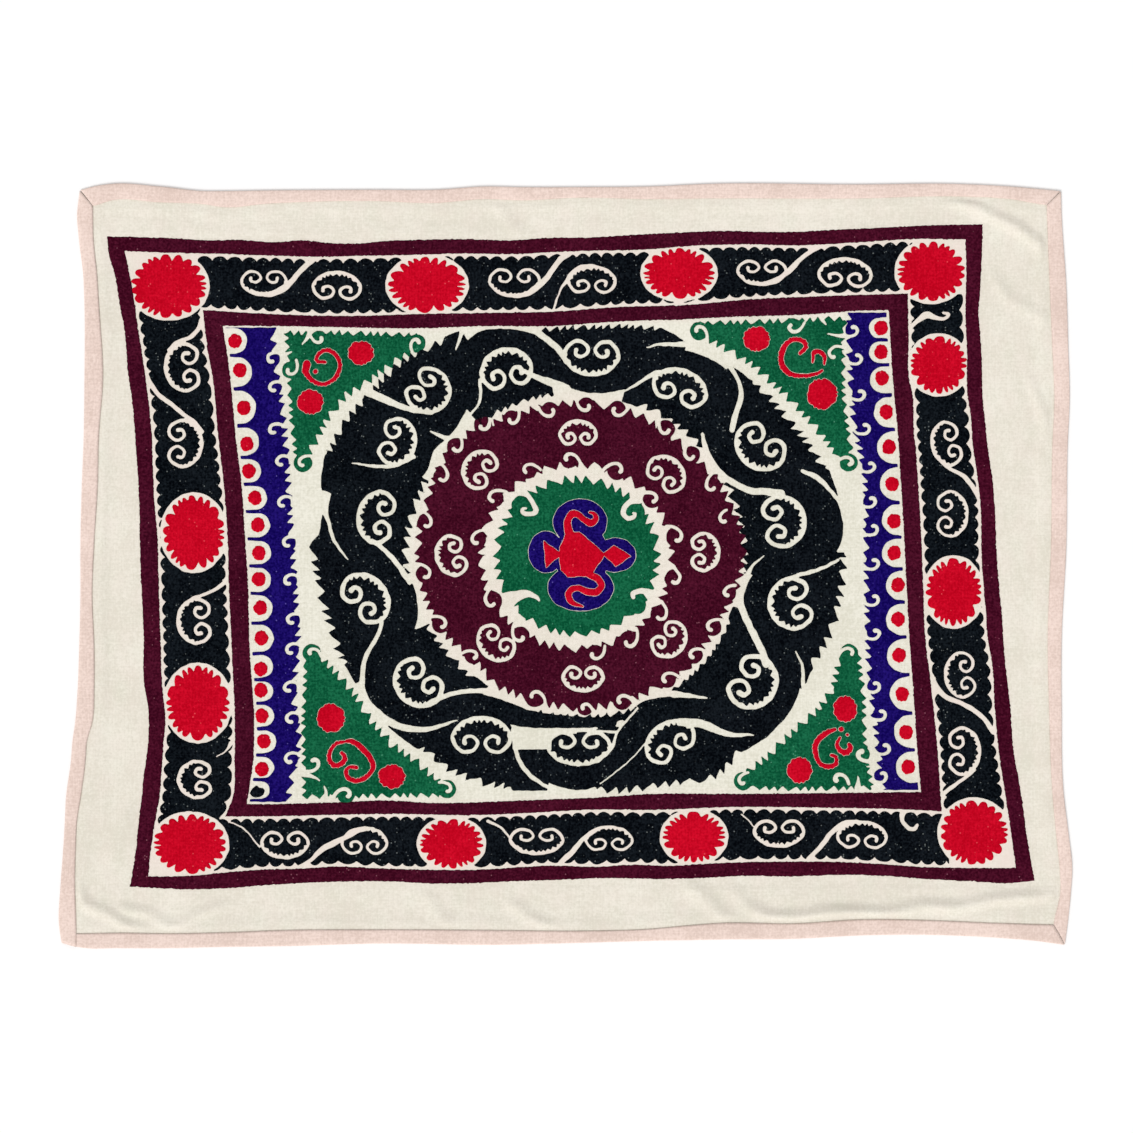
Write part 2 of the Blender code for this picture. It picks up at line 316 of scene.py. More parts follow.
def new_group(name, inputs, outputs):
    """A shader node group with named sockets: (name, type, value) in and (name, type) out."""
    tree = bpy.data.node_groups.new(name, "ShaderNodeTree")
    for label, kind, value in inputs:
        socket = tree.interface.new_socket(label, in_out="INPUT", socket_type="NodeSocket" + kind)
        socket.default_value = value
    for label, kind in outputs:
        tree.interface.new_socket(label, in_out="OUTPUT", socket_type="NodeSocket" + kind)
    return tree, tree.nodes.new("NodeGroupInput").outputs, tree.nodes.new("NodeGroupOutput").inputs


def arithmetic(tree, operation, *values):
    """The result of one operation of a Math node."""
    node = add_node(tree, "ShaderNodeMath", operation=operation)
    for socket, value in zip(node.inputs, values):
        feed(tree, socket, value)
    return node.outputs[0]


def plus(tree, first, second):
    return arithmetic(tree, "ADD", first, second)


def times(tree, first, second):
    return arithmetic(tree, "MULTIPLY", first, second)


def blend_colours(tree, factor, first, second):
    """The first colour where the factor is 0 and the second where it is 1. A Mix node set to colours has
    its factor in socket 0 and the colours in 6 and 7."""
    node = add_node(tree, "ShaderNodeMix", data_type="RGBA")
    for number, value in ((0, factor), (6, first), (7, second)):
        feed(tree, node.inputs[number], value)
    return node.outputs[2]


def remap(tree, value, low, high, to_low=0.0, to_high=1.0):
    """The value's range from low to high stretched to another range, and held at its ends."""
    node = add_node(tree, "ShaderNodeMapRange", {"Value": value, "From Min": low, "From Max": high,
                                                 "To Min": to_low, "To Max": to_high})
    return node.outputs["Result"]


def noise(tree, place, scale, detail, roughness=0.5):
    """Cloudy unevenness from 0 to 1. The scale is about the number of clouds in a metre."""
    return add_node(tree, "ShaderNodeTexNoise", {"Vector": place, "Scale": scale, "Detail": detail,
                                                 "Roughness": roughness}).outputs["Fac"]


def threads_along(tree, place, axis, pitch, wander):
    """Height of parallel threads across one axis: half a sine a pitch wide, pushed about by noise."""
    push = times(tree, arithmetic(tree, "SUBTRACT", noise(tree, place, 60.0, 2.0), 0.5), wander)
    split = add_node(tree, "ShaderNodeSeparateXYZ", {"Vector": place})
    turns = times(tree, plus(tree, split.outputs[axis], push), math.pi / pitch)
    return arithmetic(tree, "ABSOLUTE", arithmetic(tree, "SINE", turns))


# %% Weave group
COTTON_PITCH = 0.0011  # metres from thread to thread
COTTON_WANDER = 0.0006
SLUB_LENGTH = 0.030
SLUBS_ACROSS = 420.0
CLOUDS = 9.0  # cloudy patches in a metre
NUBS = 280.0
COTTON_TONES = (0.66, 0.90)  # the tone that is all shade, and the one that is all thread


def build_weave():
    """Height: the mean of warp and weft, plus slubs. Tone: clouds, slubs and nubs added up, which blends
    from the shade colour to the thread's. A stain goes over both."""
    tree, given, out = new_group(
        "plain weave",
        [("Thread", "Color", (0.8, 0.8, 0.7, 1)), ("Shade", "Color", (0.7, 0.7, 0.6, 1)),
         ("Stain", "Color", (0.8, 0.6, 0.55, 1)), ("Stain Amount", "Float", 0.0), ("Slub", "Float", 0.5)],
        [("Colour", "Color"), ("Height", "Float")],
    )
    place = add_node(tree, "ShaderNodeTexCoord").outputs["Object"]
    warp = threads_along(tree, place, "X", COTTON_PITCH, COTTON_WANDER)
    weft = threads_along(tree, place, "Y", COTTON_PITCH, COTTON_WANDER)
    slubs = []
    for stretch in ((1 / SLUB_LENGTH, SLUBS_ACROSS, 1.0), (SLUBS_ACROSS, 1 / SLUB_LENGTH, 1.0)):
        scaled = add_node(tree, "ShaderNodeMapping", {"Vector": place, "Scale": stretch})
        slubs.append(noise(tree, scaled.outputs[0], 1.0, 1.0))
    slub = times(tree, plus(tree, *slubs), 0.5)
    cloudy = noise(tree, place, CLOUDS, 5.0, 0.62)
    uneven = plus(tree, times(tree, cloudy, 0.55), times(tree, slub, 0.45))
    tone = plus(tree, uneven, times(tree, noise(tree, place, NUBS, 2.0), 0.55))
    toned = blend_colours(tree, remap(tree, tone, *COTTON_TONES), given["Shade"], given["Thread"])
    stained = blend_colours(tree, given["Stain Amount"], toned, given["Stain"])
    tree.links.new(stained, out["Colour"])
    cloth = times(tree, plus(tree, warp, weft), 0.5)
    tree.links.new(plus(tree, cloth, times(tree, slub, given["Slub"])), out["Height"])
    print("weave group", len(tree.nodes), "nodes")
    return tree


WEAVE = build_weave()

# %% Stitch group
STITCH_PITCH = 0.0022  # metres from one laid thread to the next
STITCH_WANDER = 0.0012
TUFT_LENGTH = 0.004
TUFT_WANDER = 0.006
GRAIN_STRETCH = (620.0, 260.0, 300.0)
WORN_PATCHES = 16.0  # in a metre
TUFTS = 300.0
FLECKS = 360.0
FLECK_CROWDS = 60.0
STITCH_TONES = (0.76, 1.14)


def build_stitch():
    """Height: rows of laid thread, short ticks across them and grain. Tone: some of that height, as painted
    shade that darkens the low grooves between the threads, plus tufts and worn patches. Flecks are the
    cells whose random number is below a limit, more of them in crowds."""
    tree, given, out = new_group(
        "laid stitches",
        [("Thread", "Color", (0.5, 0, 0, 1)), ("Shade", "Color", (0.3, 0, 0, 1)),
         ("Fleck", "Color", (0.8, 0.7, 0.6, 1)), ("Fleck Amount", "Float", 0.3), ("Turn", "Float", 0.0)],
        [("Colour", "Color"), ("Height", "Float")],
    )
    place = add_node(tree, "ShaderNodeTexCoord").outputs["Object"]
    turned = add_node(tree, "ShaderNodeVectorRotate", {"Vector": place, "Angle": given["Turn"]},
                      rotation_type="Z_AXIS").outputs[0]
    rows = threads_along(tree, turned, "X", STITCH_PITCH, STITCH_WANDER)
    ticks = threads_along(tree, turned, "Y", TUFT_LENGTH, TUFT_WANDER)
    stretched = add_node(tree, "ShaderNodeMapping", {"Vector": turned, "Scale": GRAIN_STRETCH})
    grain = noise(tree, stretched.outputs[0], 1.0, 2.0)
    fuzz = plus(tree, times(tree, ticks, 0.15), times(tree, grain, 0.9))
    relief = plus(tree, times(tree, rows, 0.55), fuzz)
    worn = times(tree, noise(tree, place, WORN_PATCHES, 3.0), 0.35)
    # A quarter of the height goes into the tone: painted shade that darkens the grooves between the laid
    # threads and the low places of the ticks and grain.
    tone = plus(tree, times(tree, relief, 0.25), plus(tree, noise(tree, place, TUFTS, 2.0), worn))
    toned = blend_colours(tree, remap(tree, tone, *STITCH_TONES), given["Shade"], given["Thread"])
    cells = add_node(tree, "ShaderNodeTexVoronoi", {"Vector": place, "Scale": FLECKS, "Randomness": 1.0})
    chance = add_node(tree, "ShaderNodeSeparateColor", {"Color": cells.outputs["Color"]}).outputs["Red"]
    crowding = remap(tree, noise(tree, place, FLECK_CROWDS, 2.0), 0.42, 0.68, 0.1, 2.2)
    picked = arithmetic(tree, "LESS_THAN", chance, times(tree, given["Fleck Amount"], crowding))
    specks = times(tree, picked, remap(tree, cells.outputs["Distance"], 0.5, 0.2, 0.0, 0.75))
    tree.links.new(blend_colours(tree, specks, toned, given["Fleck"]), out["Colour"])
    tree.links.new(relief, out["Height"])
    print("stitch group", len(tree.nodes), "nodes")
    return tree


STITCH = build_stitch()


# %% Finishes
MATT = 0.03  # cotton fibre scatters nearly all light, and mirrors hardly any


def linear(red, green, blue):
    """A screen colour from 0 to 255 as the linear colour that the shader wants."""
    share = np.array([red, green, blue]) / 255
    return (*np.where(share <= 0.04045, share / 12.92, ((share + 0.055) / 1.055) ** 2.4).tolist(), 1)


def new_material(name, group, values, roughness, bump_depth, bleed=None):
    """A matt fibre: a group gives the colour and the height that a Bump node turns into a normal."""
    material = bpy.data.materials.new(name)
    material.use_nodes = True
    tree = material.node_tree
    shader = tree.nodes["Principled BSDF"]
    shader.inputs["Roughness"].default_value = roughness
    shader.inputs["Metallic"].default_value = 0
    shader.inputs["Specular IOR Level"].default_value = MATT
    fibre = add_node(tree, "ShaderNodeGroup", node_tree=group)
    for label, value in values.items():
        fibre.inputs[label].default_value = value
    if bleed:
        tinted = add_node(tree, "ShaderNodeAttribute", attribute_name=bleed)
        tree.links.new(tinted.outputs["Fac"], fibre.inputs["Stain Amount"])
    bump = add_node(tree, "ShaderNodeBump", {"Height": fibre.outputs["Height"], "Strength": 1.0,
                                             "Distance": bump_depth})
    tree.links.new(fibre.outputs["Colour"], shader.inputs["Base Color"])
    tree.links.new(bump.outputs[0], shader.inputs["Normal"])
    return material


CREAM_COTTON = new_material("cream cotton", WEAVE, {
    "Thread": linear(240, 237, 223), "Shade": linear(222, 219, 202), "Stain": linear(240, 222, 214),
    "Slub": 0.6}, roughness=0.95, bump_depth=0.0003, bleed="bleed")
PINK_COTTON = new_material("pink binding cotton", WEAVE, {
    "Thread": linear(241, 219, 209), "Shade": linear(221, 198, 187), "Stain": linear(235, 203, 193),
    "Slub": 0.3}, roughness=0.92, bump_depth=0.0002)


def thread_finish(name, thread, shade, fleck, fleck_amount, turn=0.0):
    """A stitching thread. The turn, in radians, lays its stitches another way."""
    return new_material(name, STITCH, {
        "Thread": linear(*thread), "Shade": linear(*shade), "Fleck": linear(*fleck),
        "Fleck Amount": fleck_amount, "Turn": turn}, roughness=0.9, bump_depth=0.0006)


# Each thread's second colour is the dark end of its tone: random unevenness, and painted shade in the grooves
# between its laid threads.
MAROON_DYE_AND_SHADE = ((84, 20, 44), (52, 2, 22), (150, 90, 105), 0.02)
MAROON = thread_finish("maroon thread", *MAROON_DYE_AND_SHADE)
MAROON_ACROSS = thread_finish("maroon thread across", *MAROON_DYE_AND_SHADE, turn=math.pi / 2)
BLACK = thread_finish("black thread", (24, 30, 36), (0, 2, 6), (120, 126, 124), 0.05)
RED = thread_finish("red thread", (213, 12, 42), (183, 0, 26), (240, 90, 100), 0.015)
BLUE = thread_finish("violet blue thread", (36, 20, 116), (10, 0, 78), (110, 95, 180), 0.015)
GREEN = thread_finish("green thread", (28, 112, 76), (2, 74, 46), (90, 160, 130), 0.015)
print("finishes", [material.name for material in bpy.data.materials if material.users])

# %% [markdown]
# Two plain maroon bands frame the border. Their edges are noted side by side with their slight wander, and
# come first because dye has run a little into the bare cotton between the stitches.

# %% Band edges
PILE = 0.95
RIM = 1.5  # how far in from its edge the stitching reaches its full height
TUCK = 0.18  # how far its edge goes in under the cloth's surface
BAND_STEP = 2.6
BAND_ROWS = (0.0, 0.04, 0.12, 0.3, 0.5, 0.7, 0.88, 0.96, 1.0)
THREAD_RAG = 0.35
OUTER_TOP = (
    (107, 236.4), (143, 237.2), (176, 238.4), (209, 240.5), (234, 239.7), (276, 242.2), (300, 240.3),
    (329, 242.9), (357, 243.5), (386, 241), (415, 240), (463, 239), (510, 240.4), (549, 237.8),
    (590, 237.5), (642, 234.4), (676, 232.7), (728, 231), (762, 232), (797, 231.8), (831, 230),
    (860, 228.7), (888, 227.3), (936, 225.2), (982.7, 224.4),
)
OUTER_TOP_IN = (
    (125, 251.3), (160, 252.6), (209, 253.8), (259, 255.4), (320, 257), (357, 256.3), (415, 255),
    (472, 253.8), (510, 254.4), (549, 252.5), (590, 251), (642, 249.9), (693, 246), (745, 244.7),
    (797, 245.6), (860, 242.5), (904, 239.6), (965, 239.6),
)
OUTER_RIGHT = (
    (224.4, 982.7), (255, 981.9), (287, 980.3), (318, 978.7), (334, 980.3), (366, 981.9), (398, 982.7),
    (413, 984.3), (446, 987.6), (480, 992.5), (513, 995), (546, 996.2), (579, 998.4), (612, 1001.7),
    (640, 1003.3), (663, 1005.2), (707, 1010.2), (750, 1013.5), (793, 1021), (837, 1026.9),
    (880.5, 1034.5),
)
OUTER_RIGHT_IN = (
    (239.6, 965), (271, 966), (318, 965.2), (350, 966.8), (398, 967.6), (413, 970.2), (446, 972.6),
    (480, 977.6), (513, 980.6), (546, 981), (579, 982.6), (612, 985.6), (640, 987.6), (663, 991.8),
    (707, 994.4), (750, 998.3), (793, 1004.8), (837, 1011.3), (867.8, 1015.5),
)
OUTER_BOTTOM = (
    (130, 886.6), (157, 888), (193, 889.3), (229, 888), (264, 885.4), (300, 883.2), (330, 882),
    (384, 881.3), (440, 883.7), (476, 883), (513, 881.3), (569, 879.4), (600, 878.2), (669, 878.8),
    (705, 877.9), (741, 876), (794, 876.4), (840, 874.8), (883, 875.9), (927, 879), (970, 881.3),
    (1013, 883), (1034.5, 880.5),
)
OUTER_BOTTOM_IN = (
    (148.8, 876.4), (193, 875.5), (229, 872), (264, 869.3), (300, 868.4), (330, 866.5), (384, 868.3),
    (440, 869.6), (476, 869.6), (513, 867.4), (550, 865.5), (600, 866.5), (634, 864.5), (669, 865.7),
    (705, 863.6), (741, 862), (794, 861.4), (840, 861.8), (883, 864), (927, 867), (970, 867.8),
    (1015.5, 867.8),
)
OUTER_LEFT = (
    (236.4, 107), (258, 109.8), (274, 114.7), (305, 119.7), (326, 124), (371, 128), (415, 133.7),
    (449, 136), (469, 137.5), (505, 139.3), (541, 139.8), (580, 141), (600, 142), (634, 143.8),
    (687, 144.6), (705, 147.9), (741, 148.2), (776, 143.8), (800, 141.4), (816, 139.3), (851, 135.7),
    (886.6, 130),
)
OUTER_LEFT_IN = (
    (251.3, 125), (282, 131.5), (326, 138), (371, 144.9), (415, 150.4), (434, 152), (469, 153.2),
    (505, 155), (541, 158), (580, 158.9), (634, 160.7), (687, 162.5), (723, 165.7), (741, 164),
    (776, 161.6), (800, 159.3), (816, 156.3), (851, 150.9), (876.4, 148.8),
)
INNER_TOP = (
    (203, 310), (251, 312.9), (295, 315), (350, 316), (417, 314), (484, 312.9), (551, 311.7), (618, 307),
    (700, 304), (734, 300.5), (818, 296.3), (907.6, 293.5),
)
INNER_TOP_IN = (
    (223, 326), (273, 326.3), (340, 327.4), (417, 328.5), (484, 326.3), (551, 326.3), (618, 321.8),
    (650, 320.5), (680, 319.8), (700, 318.8), (734, 317), (780, 315.8), (818, 314), (850, 311.5),
    (888.5, 310.3),
)
INNER_RIGHT = (
    (293.5, 907.6), (338, 908.7), (380, 909.3), (394, 912.4), (430, 913.8), (451, 916), (480, 917.9),
    (529, 921), (579, 922.9), (640, 925.5), (685, 931), (750, 937.6), (811.4, 941.5),
)
INNER_RIGHT_IN = (
    (310.3, 888.5), (338, 889.9), (380, 892.7), (430, 897.2), (480, 900.5), (529, 903.5), (579, 906),
    (640, 909.3), (685, 912.6), (750, 917), (791.7, 920.7),
)
INNER_BOTTOM = (
    (225, 816.5), (273, 816.3), (330, 815), (400, 814), (462, 815.2), (529, 813), (596, 809.6),
    (650, 810), (734, 807), (818, 807.7), (903, 809.4), (941.5, 811.4),
)
INNER_BOTTOM_IN = (
    (247, 804), (273, 804), (330, 802.3), (400, 800.7), (417, 802), (440, 803), (462, 802.5), (529, 800),
    (596, 797.3), (650, 793.8), (734, 793.7), (818, 793), (920.7, 791.7),
)
INNER_LEFT = (
    (310, 203), (349, 207.4), (380, 212.9), (434, 218), (487, 224), (541, 227.7), (580, 228.6),
    (651, 231.8), (723, 234.8), (759, 234.5), (800, 232), (816.5, 225),
)
INNER_LEFT_IN = (
    (326, 223), (371, 229.7), (415, 234), (434, 235.7), (487, 242), (541, 245.5), (580, 248), (651, 250),
    (723, 254.5), (759, 253.6), (804, 247),
)


def edge_line(rows, at):
    """A band edge's pixel column at a row, or row at a column."""
    table = np.array(rows, float)
    return cubic_line(table[:, 0], table[:, 1], at)


def inside_edges(x, y, top, right, bottom, left):
    """How far in pixels a place lies inside four crooked edges; negative outside."""
    column = PHOTO_MIDDLE + x / PIXEL
    row = PHOTO_MIDDLE - y / PIXEL
    return np.minimum.reduce([row - edge_line(top, column), edge_line(right, row) - column,
                              edge_line(bottom, column) - row, column - edge_line(left, row)])


def pile_height(x, y, inside):
    """Top of the stitching: the cloth's top less the tuck, plus pile and tuck times a quarter circle's
    rise, sqrt(1 - (1 - inside / rim)^2)."""
    rise = np.sqrt(np.clip(1 - (1 - np.clip(inside / RIM, 0, 1)) ** 2, 0, 1))
    return cloth_top(x, y) - TUCK + (PILE + TUCK) * rise


print("outer band's upper edge", round((OUTER_TOP[-1][0] - OUTER_TOP[0][0]) * PIXEL), "mm long")

# %% [markdown]
# The ground cloth is a grid of points. Two numbers, the shares across and up the cloth, give each point's
# place between the seams, and the height function lifts it. Grid lines are close together in the margins,
# where the folds are. Solidify then gives the sheet its thickness.

# %% Sheets as grids
CLOTH_REACH = 0.84  # share of the binding's width that the cloth reaches under it
SEAMS_ACROSS = 1430  # about how far apart the left and right seams lie, and the lower and upper ones
SEAMS_UP = 1090
MARGIN_PITCH = 3.2
MIDDLE_PITCH = 8.5


def across(low_side, high_side, share, along):
    """The place between two facing sides: -1 is the low outer edge, 0 its seam, 1 the high seam and 2
    the high outer edge."""
    stops = [side_line(low_side, "edge", along), side_line(low_side, "seam", along),
             side_line(high_side, "seam", along), side_line(high_side, "edge", along)]
    k = np.clip(np.floor(share).astype(int) + 1, 0, 2)
    stops = np.stack(np.broadcast_arrays(*stops))
    low = np.take_along_axis(stops, k[None], 0)[0]
    high = np.take_along_axis(stops, k[None] + 1, 0)[0]
    return low + (high - low) * (share - (k - 1))


def on_cloth(u, v):
    """x and y at the shares u and v. Each depends on the other, and a few rounds settle both."""
    x = np.zeros_like(u)
    y = np.zeros_like(v)
    for _ in range(6):
        x, y = across(LEFT, RIGHT, u, y), across(BOTTOM, TOP, v, x)
    return x, y


def share_lines(length, low_margin, high_margin):
    """Shares of the grid lines: fine in both margins and coarser between them."""
    low = np.arange(0, low_margin, MARGIN_PITCH)
    high = length - np.arange(0, high_margin, MARGIN_PITCH)[::-1]
    middle = np.linspace(low[-1], high[0], round((high[0] - low[-1]) / MIDDLE_PITCH) + 1)[1:-1]
    return np.concatenate([[-CLOTH_REACH, -CLOTH_REACH / 2], np.concatenate([low, middle, high]) / length,
                           [1 + CLOTH_REACH / 2, 1 + CLOTH_REACH]])


def grid_faces(columns, rows, closed=False):
    """Corner numbers of the quads of a grid, counterclockwise as seen from above."""
    i, j = np.meshgrid(np.arange(columns if closed else columns - 1), np.arange(rows - 1), indexing="ij")
    a = i * rows + j
    b = (i + 1) % columns * rows + j
    return np.stack([a, b, b + 1, a + 1], -1).reshape(-1, 4)


def add_object(name, data):
    """An object for a mesh, a lamp or a camera, put into the scene."""
    thing = bpy.data.objects.new(name, data)
    bpy.context.scene.collection.objects.link(thing)
    return thing


def new_piece(name, points, faces, materials, part_faces=None):
    """A mesh object from arrays: points in mm from the middle of the embroidery, and face corners."""
    mesh = bpy.data.meshes.new(name)
    place = (np.asarray(points, float) - (MIDDLE_X, MIDDLE_Y, 0)) * MM
    mesh.from_pydata(place, [], [face for group in faces for face in group.tolist()])
    for material in materials:
        mesh.materials.append(material)
    if part_faces is not None:
        mesh.polygons.foreach_set("material_index", np.asarray(part_faces, np.int32))
    mesh.shade_smooth()
    mesh.update()
    piece = add_object(name, mesh)
    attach(piece, "root")
    return piece


def thicken(piece, thickness):
    """Gives a sheet its thickness, half of it on each side."""
    sheet = piece.modifiers.new("cloth thickness", "SOLIDIFY")
    sheet.thickness = thickness * MM
    sheet.offset = 0
    return piece


# %% Ground cloth
MEDALLION_MIDDLE = (579, 557)
MEDALLION_RADIUS = 262.0
BLEED_BLEND = 8.0  # pixels from bare to full pink at a band's edge
BLEED_PATCHES = 45.0
# How pink the cotton is in the border, round the medallion, in the plain margins and everywhere.
BORDER_PINK = 0.7
MEDALLION_PINK = 0.4
MARGIN_PINK = 0.28
LEAST_PINK = 0.04


def dye_bleed(x, y):
    """How pink the cotton is. Dye has run a little from the stitching, where maroon and red stand close.
    The share of each place is 1 inside it and falls smoothly to 0 outside."""
    outer = inside_edges(x, y, OUTER_TOP, OUTER_RIGHT, OUTER_BOTTOM, OUTER_LEFT)
    inner = inside_edges(x, y, INNER_TOP_IN, INNER_RIGHT_IN, INNER_BOTTOM_IN, INNER_LEFT_IN)
    stitched = smooth_step(outer / BLEED_BLEND + 0.4)
    border = stitched * smooth_step(0.5 - inner / BLEED_BLEND)
    middle = mm(MEDALLION_MIDDLE)
    medallion = smooth_step((MEDALLION_RADIUS - np.hypot(x - middle[0], y - middle[1])) / 20)
    patchy = 0.75 + 0.25 * waves(x, y, BLEED_PATCHES, seed=31)
    pink = BORDER_PINK * border + MEDALLION_PINK * medallion + MARGIN_PINK * (1 - stitched) + LEAST_PINK
    return np.clip(pink * patchy, 0, 1)


u_lines = share_lines(SEAMS_ACROSS, low_margin=84, high_margin=100)
v_lines = share_lines(SEAMS_UP, low_margin=88, high_margin=62)
u, v = np.meshgrid(u_lines, v_lines, indexing="ij")
ground_x, ground_y = on_cloth(u, v)
ground_points = np.stack([ground_x, ground_y, cloth_height(ground_x, ground_y)], -1).reshape(-1, 3)
ground = new_piece("ground_cotton_sheet", ground_points, [grid_faces(*u.shape)], [CREAM_COTTON])
bleed = ground.data.attributes.new("bleed", "FLOAT", "POINT")
bleed.data.foreach_set("value", dye_bleed(ground_x, ground_y).ravel().astype(np.float32))
thicken(ground, CLOTH_THICK)
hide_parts("ground_cloth")
print("ground cloth", u.shape, "highest point", round(ground_points[:, 2].max(), 2), "mm")

# %% [markdown]
# Each binding strip is a flat ribbon folded in half round the edge: a leg below the cloth, a round fold and
# a leg above it, which the seam pulls down and puckers. Its section is carried along the side. Most of its
# ends are cut to the corner's diagonal, but one runs through to the edge and one is butted.

# %% Binding
BINDING_STEP = 5.0
UPPER_LEG = (0.0, 0.12, 0.3, 0.5, 0.7, 0.86, 1.0)  # rows between the fold and the seam
LOWER_LEG = (1.0, 0.6, 0.25)
SEAM_SINK = 0.4
MITRE_GAP = 0.22
MITRE_FOLD_GAP = 0.45
FOLD_POINTS = 9
FOLD_MIDDLE = (BINDING_LOW + BINDING_HIGH) / 2
LEG_PUCKER = 9.5  # millimetres from one pucker of the seam to the next
PUCKER_LEAN = 0.9
PUCKER_DRIFT = 3.0
PUCKER_POWER = 0.7  # below 1, so that the puckers are broad with narrow valleys
LEG_SWELL = 0.25
SINK_START = 0.72  # share of the leg where the seam starts to draw it down
SINK_LENGTH = 0.28


def binding_section():
    """The ribbon from its lower seam round the fold to its upper seam: share of the way from the fold to
    the seam, distance in from the outer edge for the fold's own points, height, and closeness to the
    edge."""
    turn = np.radians(np.linspace(-90, 90, FOLD_POINTS))
    fold_in = FOLD_BACK - FOLD_RADIUS * np.cos(turn)
    fold_up = FOLD_MIDDLE + FOLD_RADIUS * np.sin(turn)
    lower = np.ones(len(LOWER_LEG))
    upper = np.ones(len(UPPER_LEG) - 1)
    leg_share = np.concatenate([LOWER_LEG, np.zeros(FOLD_POINTS), UPPER_LEG[1:]])
    inward = np.concatenate([FOLD_BACK * lower, fold_in, FOLD_BACK * upper])
    height = np.concatenate([BINDING_LOW * lower, fold_up, BINDING_HIGH * upper])
    round_it = np.concatenate([0 * lower, np.cos(turn), 0 * upper])
    return leg_share, inward, height, round_it


def binding_strip(name, node, side, along_x, ends, pucker, seed):
    """One strip. ends says how it starts and stops: on the diagonal, through to the edge, or butted.
    A pucker is |sin(pi place / pitch)|^power high, and its place leans across the leg and drifts."""
    far_side = side in (TOP, RIGHT)
    outward = 1 if far_side else -1
    leg_share, inward, height, round_it = binding_section()
    steps = round((SEAMS_ACROSS if along_x else SEAMS_UP) / BINDING_STEP)
    station, row = np.meshgrid(np.linspace(0, 1, steps + 1), np.arange(len(height)), indexing="ij")
    share, inward, height, round_it = leg_share[row], inward[row], height[row], round_it[row]
    width = abs(side_line(side, "edge", 0.0) - side_line(side, "seam", 0.0))
    reach = (1 - inward / width) * (1 - share)

    def end_along(kind, low_end):
        """Where one end of the strip lies along the side, for each row of its section."""
        sense = -1 if low_end else 1
        seam_share = 0 if low_end else 1
        clearance = MITRE_GAP + MITRE_FOLD_GAP * round_it
        if kind == "through":
            end_share, clearance = np.full(row.shape, seam_share + sense), 0
        elif kind == "butt":
            end_share, clearance = np.full(row.shape, seam_share), LAYER_GAP
        else:
            end_share = seam_share + sense * reach
        over = 1 + reach if far_side else -reach
        place = on_cloth(end_share, over)[0] if along_x else on_cloth(over, end_share)[1]
        return place - sense * clearance

    first = end_along(ends[0], True)
    along = first + (end_along(ends[1], False) - first) * station
    edge = side_line(side, "edge", along)
    seam = side_line(side, "seam", along)
    fold_start = edge - outward * inward
    level = fold_start + (seam - fold_start) * share
    upper = (height > FOLD_MIDDLE) * np.clip(share * 8, 0, 1)
    drift = PUCKER_DRIFT * waves(along, level, 50, seed)
    ridge = np.abs(np.sin(np.pi * (along + PUCKER_LEAN * width * share + drift) / LEG_PUCKER)) ** PUCKER_POWER
    patchy = 0.6 + 0.4 * np.clip(waves(along, level, 90, seed + 1), -1, 1)
    swell = LEG_SWELL * (1 + waves(along, level, 70, seed + 2) * 0.6)
    z = height + upper * (pucker * patchy * ridge * (1 - 0.5 * share) + swell * (1 - share))
    z = z - upper * SEAM_SINK * smooth_step((share - SINK_START) / SINK_LENGTH)
    ground_place = (along, level) if along_x else (level, along)
    points = np.stack([*ground_place, z], -1).reshape(-1, 3)
    faces = grid_faces(*row.shape)
    if along_x == far_side:
        faces = faces[:, ::-1]
    strip = new_piece(name, points, [faces], [PINK_COTTON])
    thicken(strip, BINDING_THICK)
    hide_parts(node)
    return strip


binding_strip("binding_strip_top", "binding_top", TOP, True, ("mitre", "mitre"), 0.22, 41)
binding_strip("binding_strip_bottom", "binding_bottom", BOTTOM, True, ("butt", "mitre"), 0.24, 51)
binding_strip("binding_strip_left", "binding_left", LEFT, False, ("through", "mitre"), 0.18, 61)
binding_strip("binding_strip_right", "binding_right", RIGHT, False, ("mitre", "mitre"), 0.36, 71)

# %% [markdown]
# Each band is a ribbon of stitching carried once round the rectangle, row by row across it. The threads
# run across it too, so its edge is a little ragged, and its short sides need the threads turned.

# %% Bands
def band_side(outer, inner, lies_along_x, backwards):
    """Places on one side of a band: station along it by row across it, in pixels, corner to corner."""
    outer_rows = np.array(outer, float)
    inner_rows = np.array(inner, float)
    count = round((outer_rows[-1, 0] - outer_rows[0, 0]) * PIXEL / BAND_STEP)
    t = np.arange(count)[:, None] / count
    if backwards:
        t = 1 - t
    share = np.array(BAND_ROWS)[None]
    outer_at = outer_rows[0, 0] + (outer_rows[-1, 0] - outer_rows[0, 0]) * t
    inner_at = inner_rows[0, 0] + (inner_rows[-1, 0] - inner_rows[0, 0]) * t
    along = outer_at + (inner_at - outer_at) * share
    rag = THREAD_RAG / PIXEL * np.random.default_rng(len(outer)).normal(0, 1, (count, 2))
    low = edge_line(outer, outer_at) + rag[:, :1]
    high = edge_line(inner, inner_at) + rag[:, 1:]
    level = low + (high - low) * share
    return np.stack([along, level] if lies_along_x else [level, along], -1), abs(high - low) * PIXEL


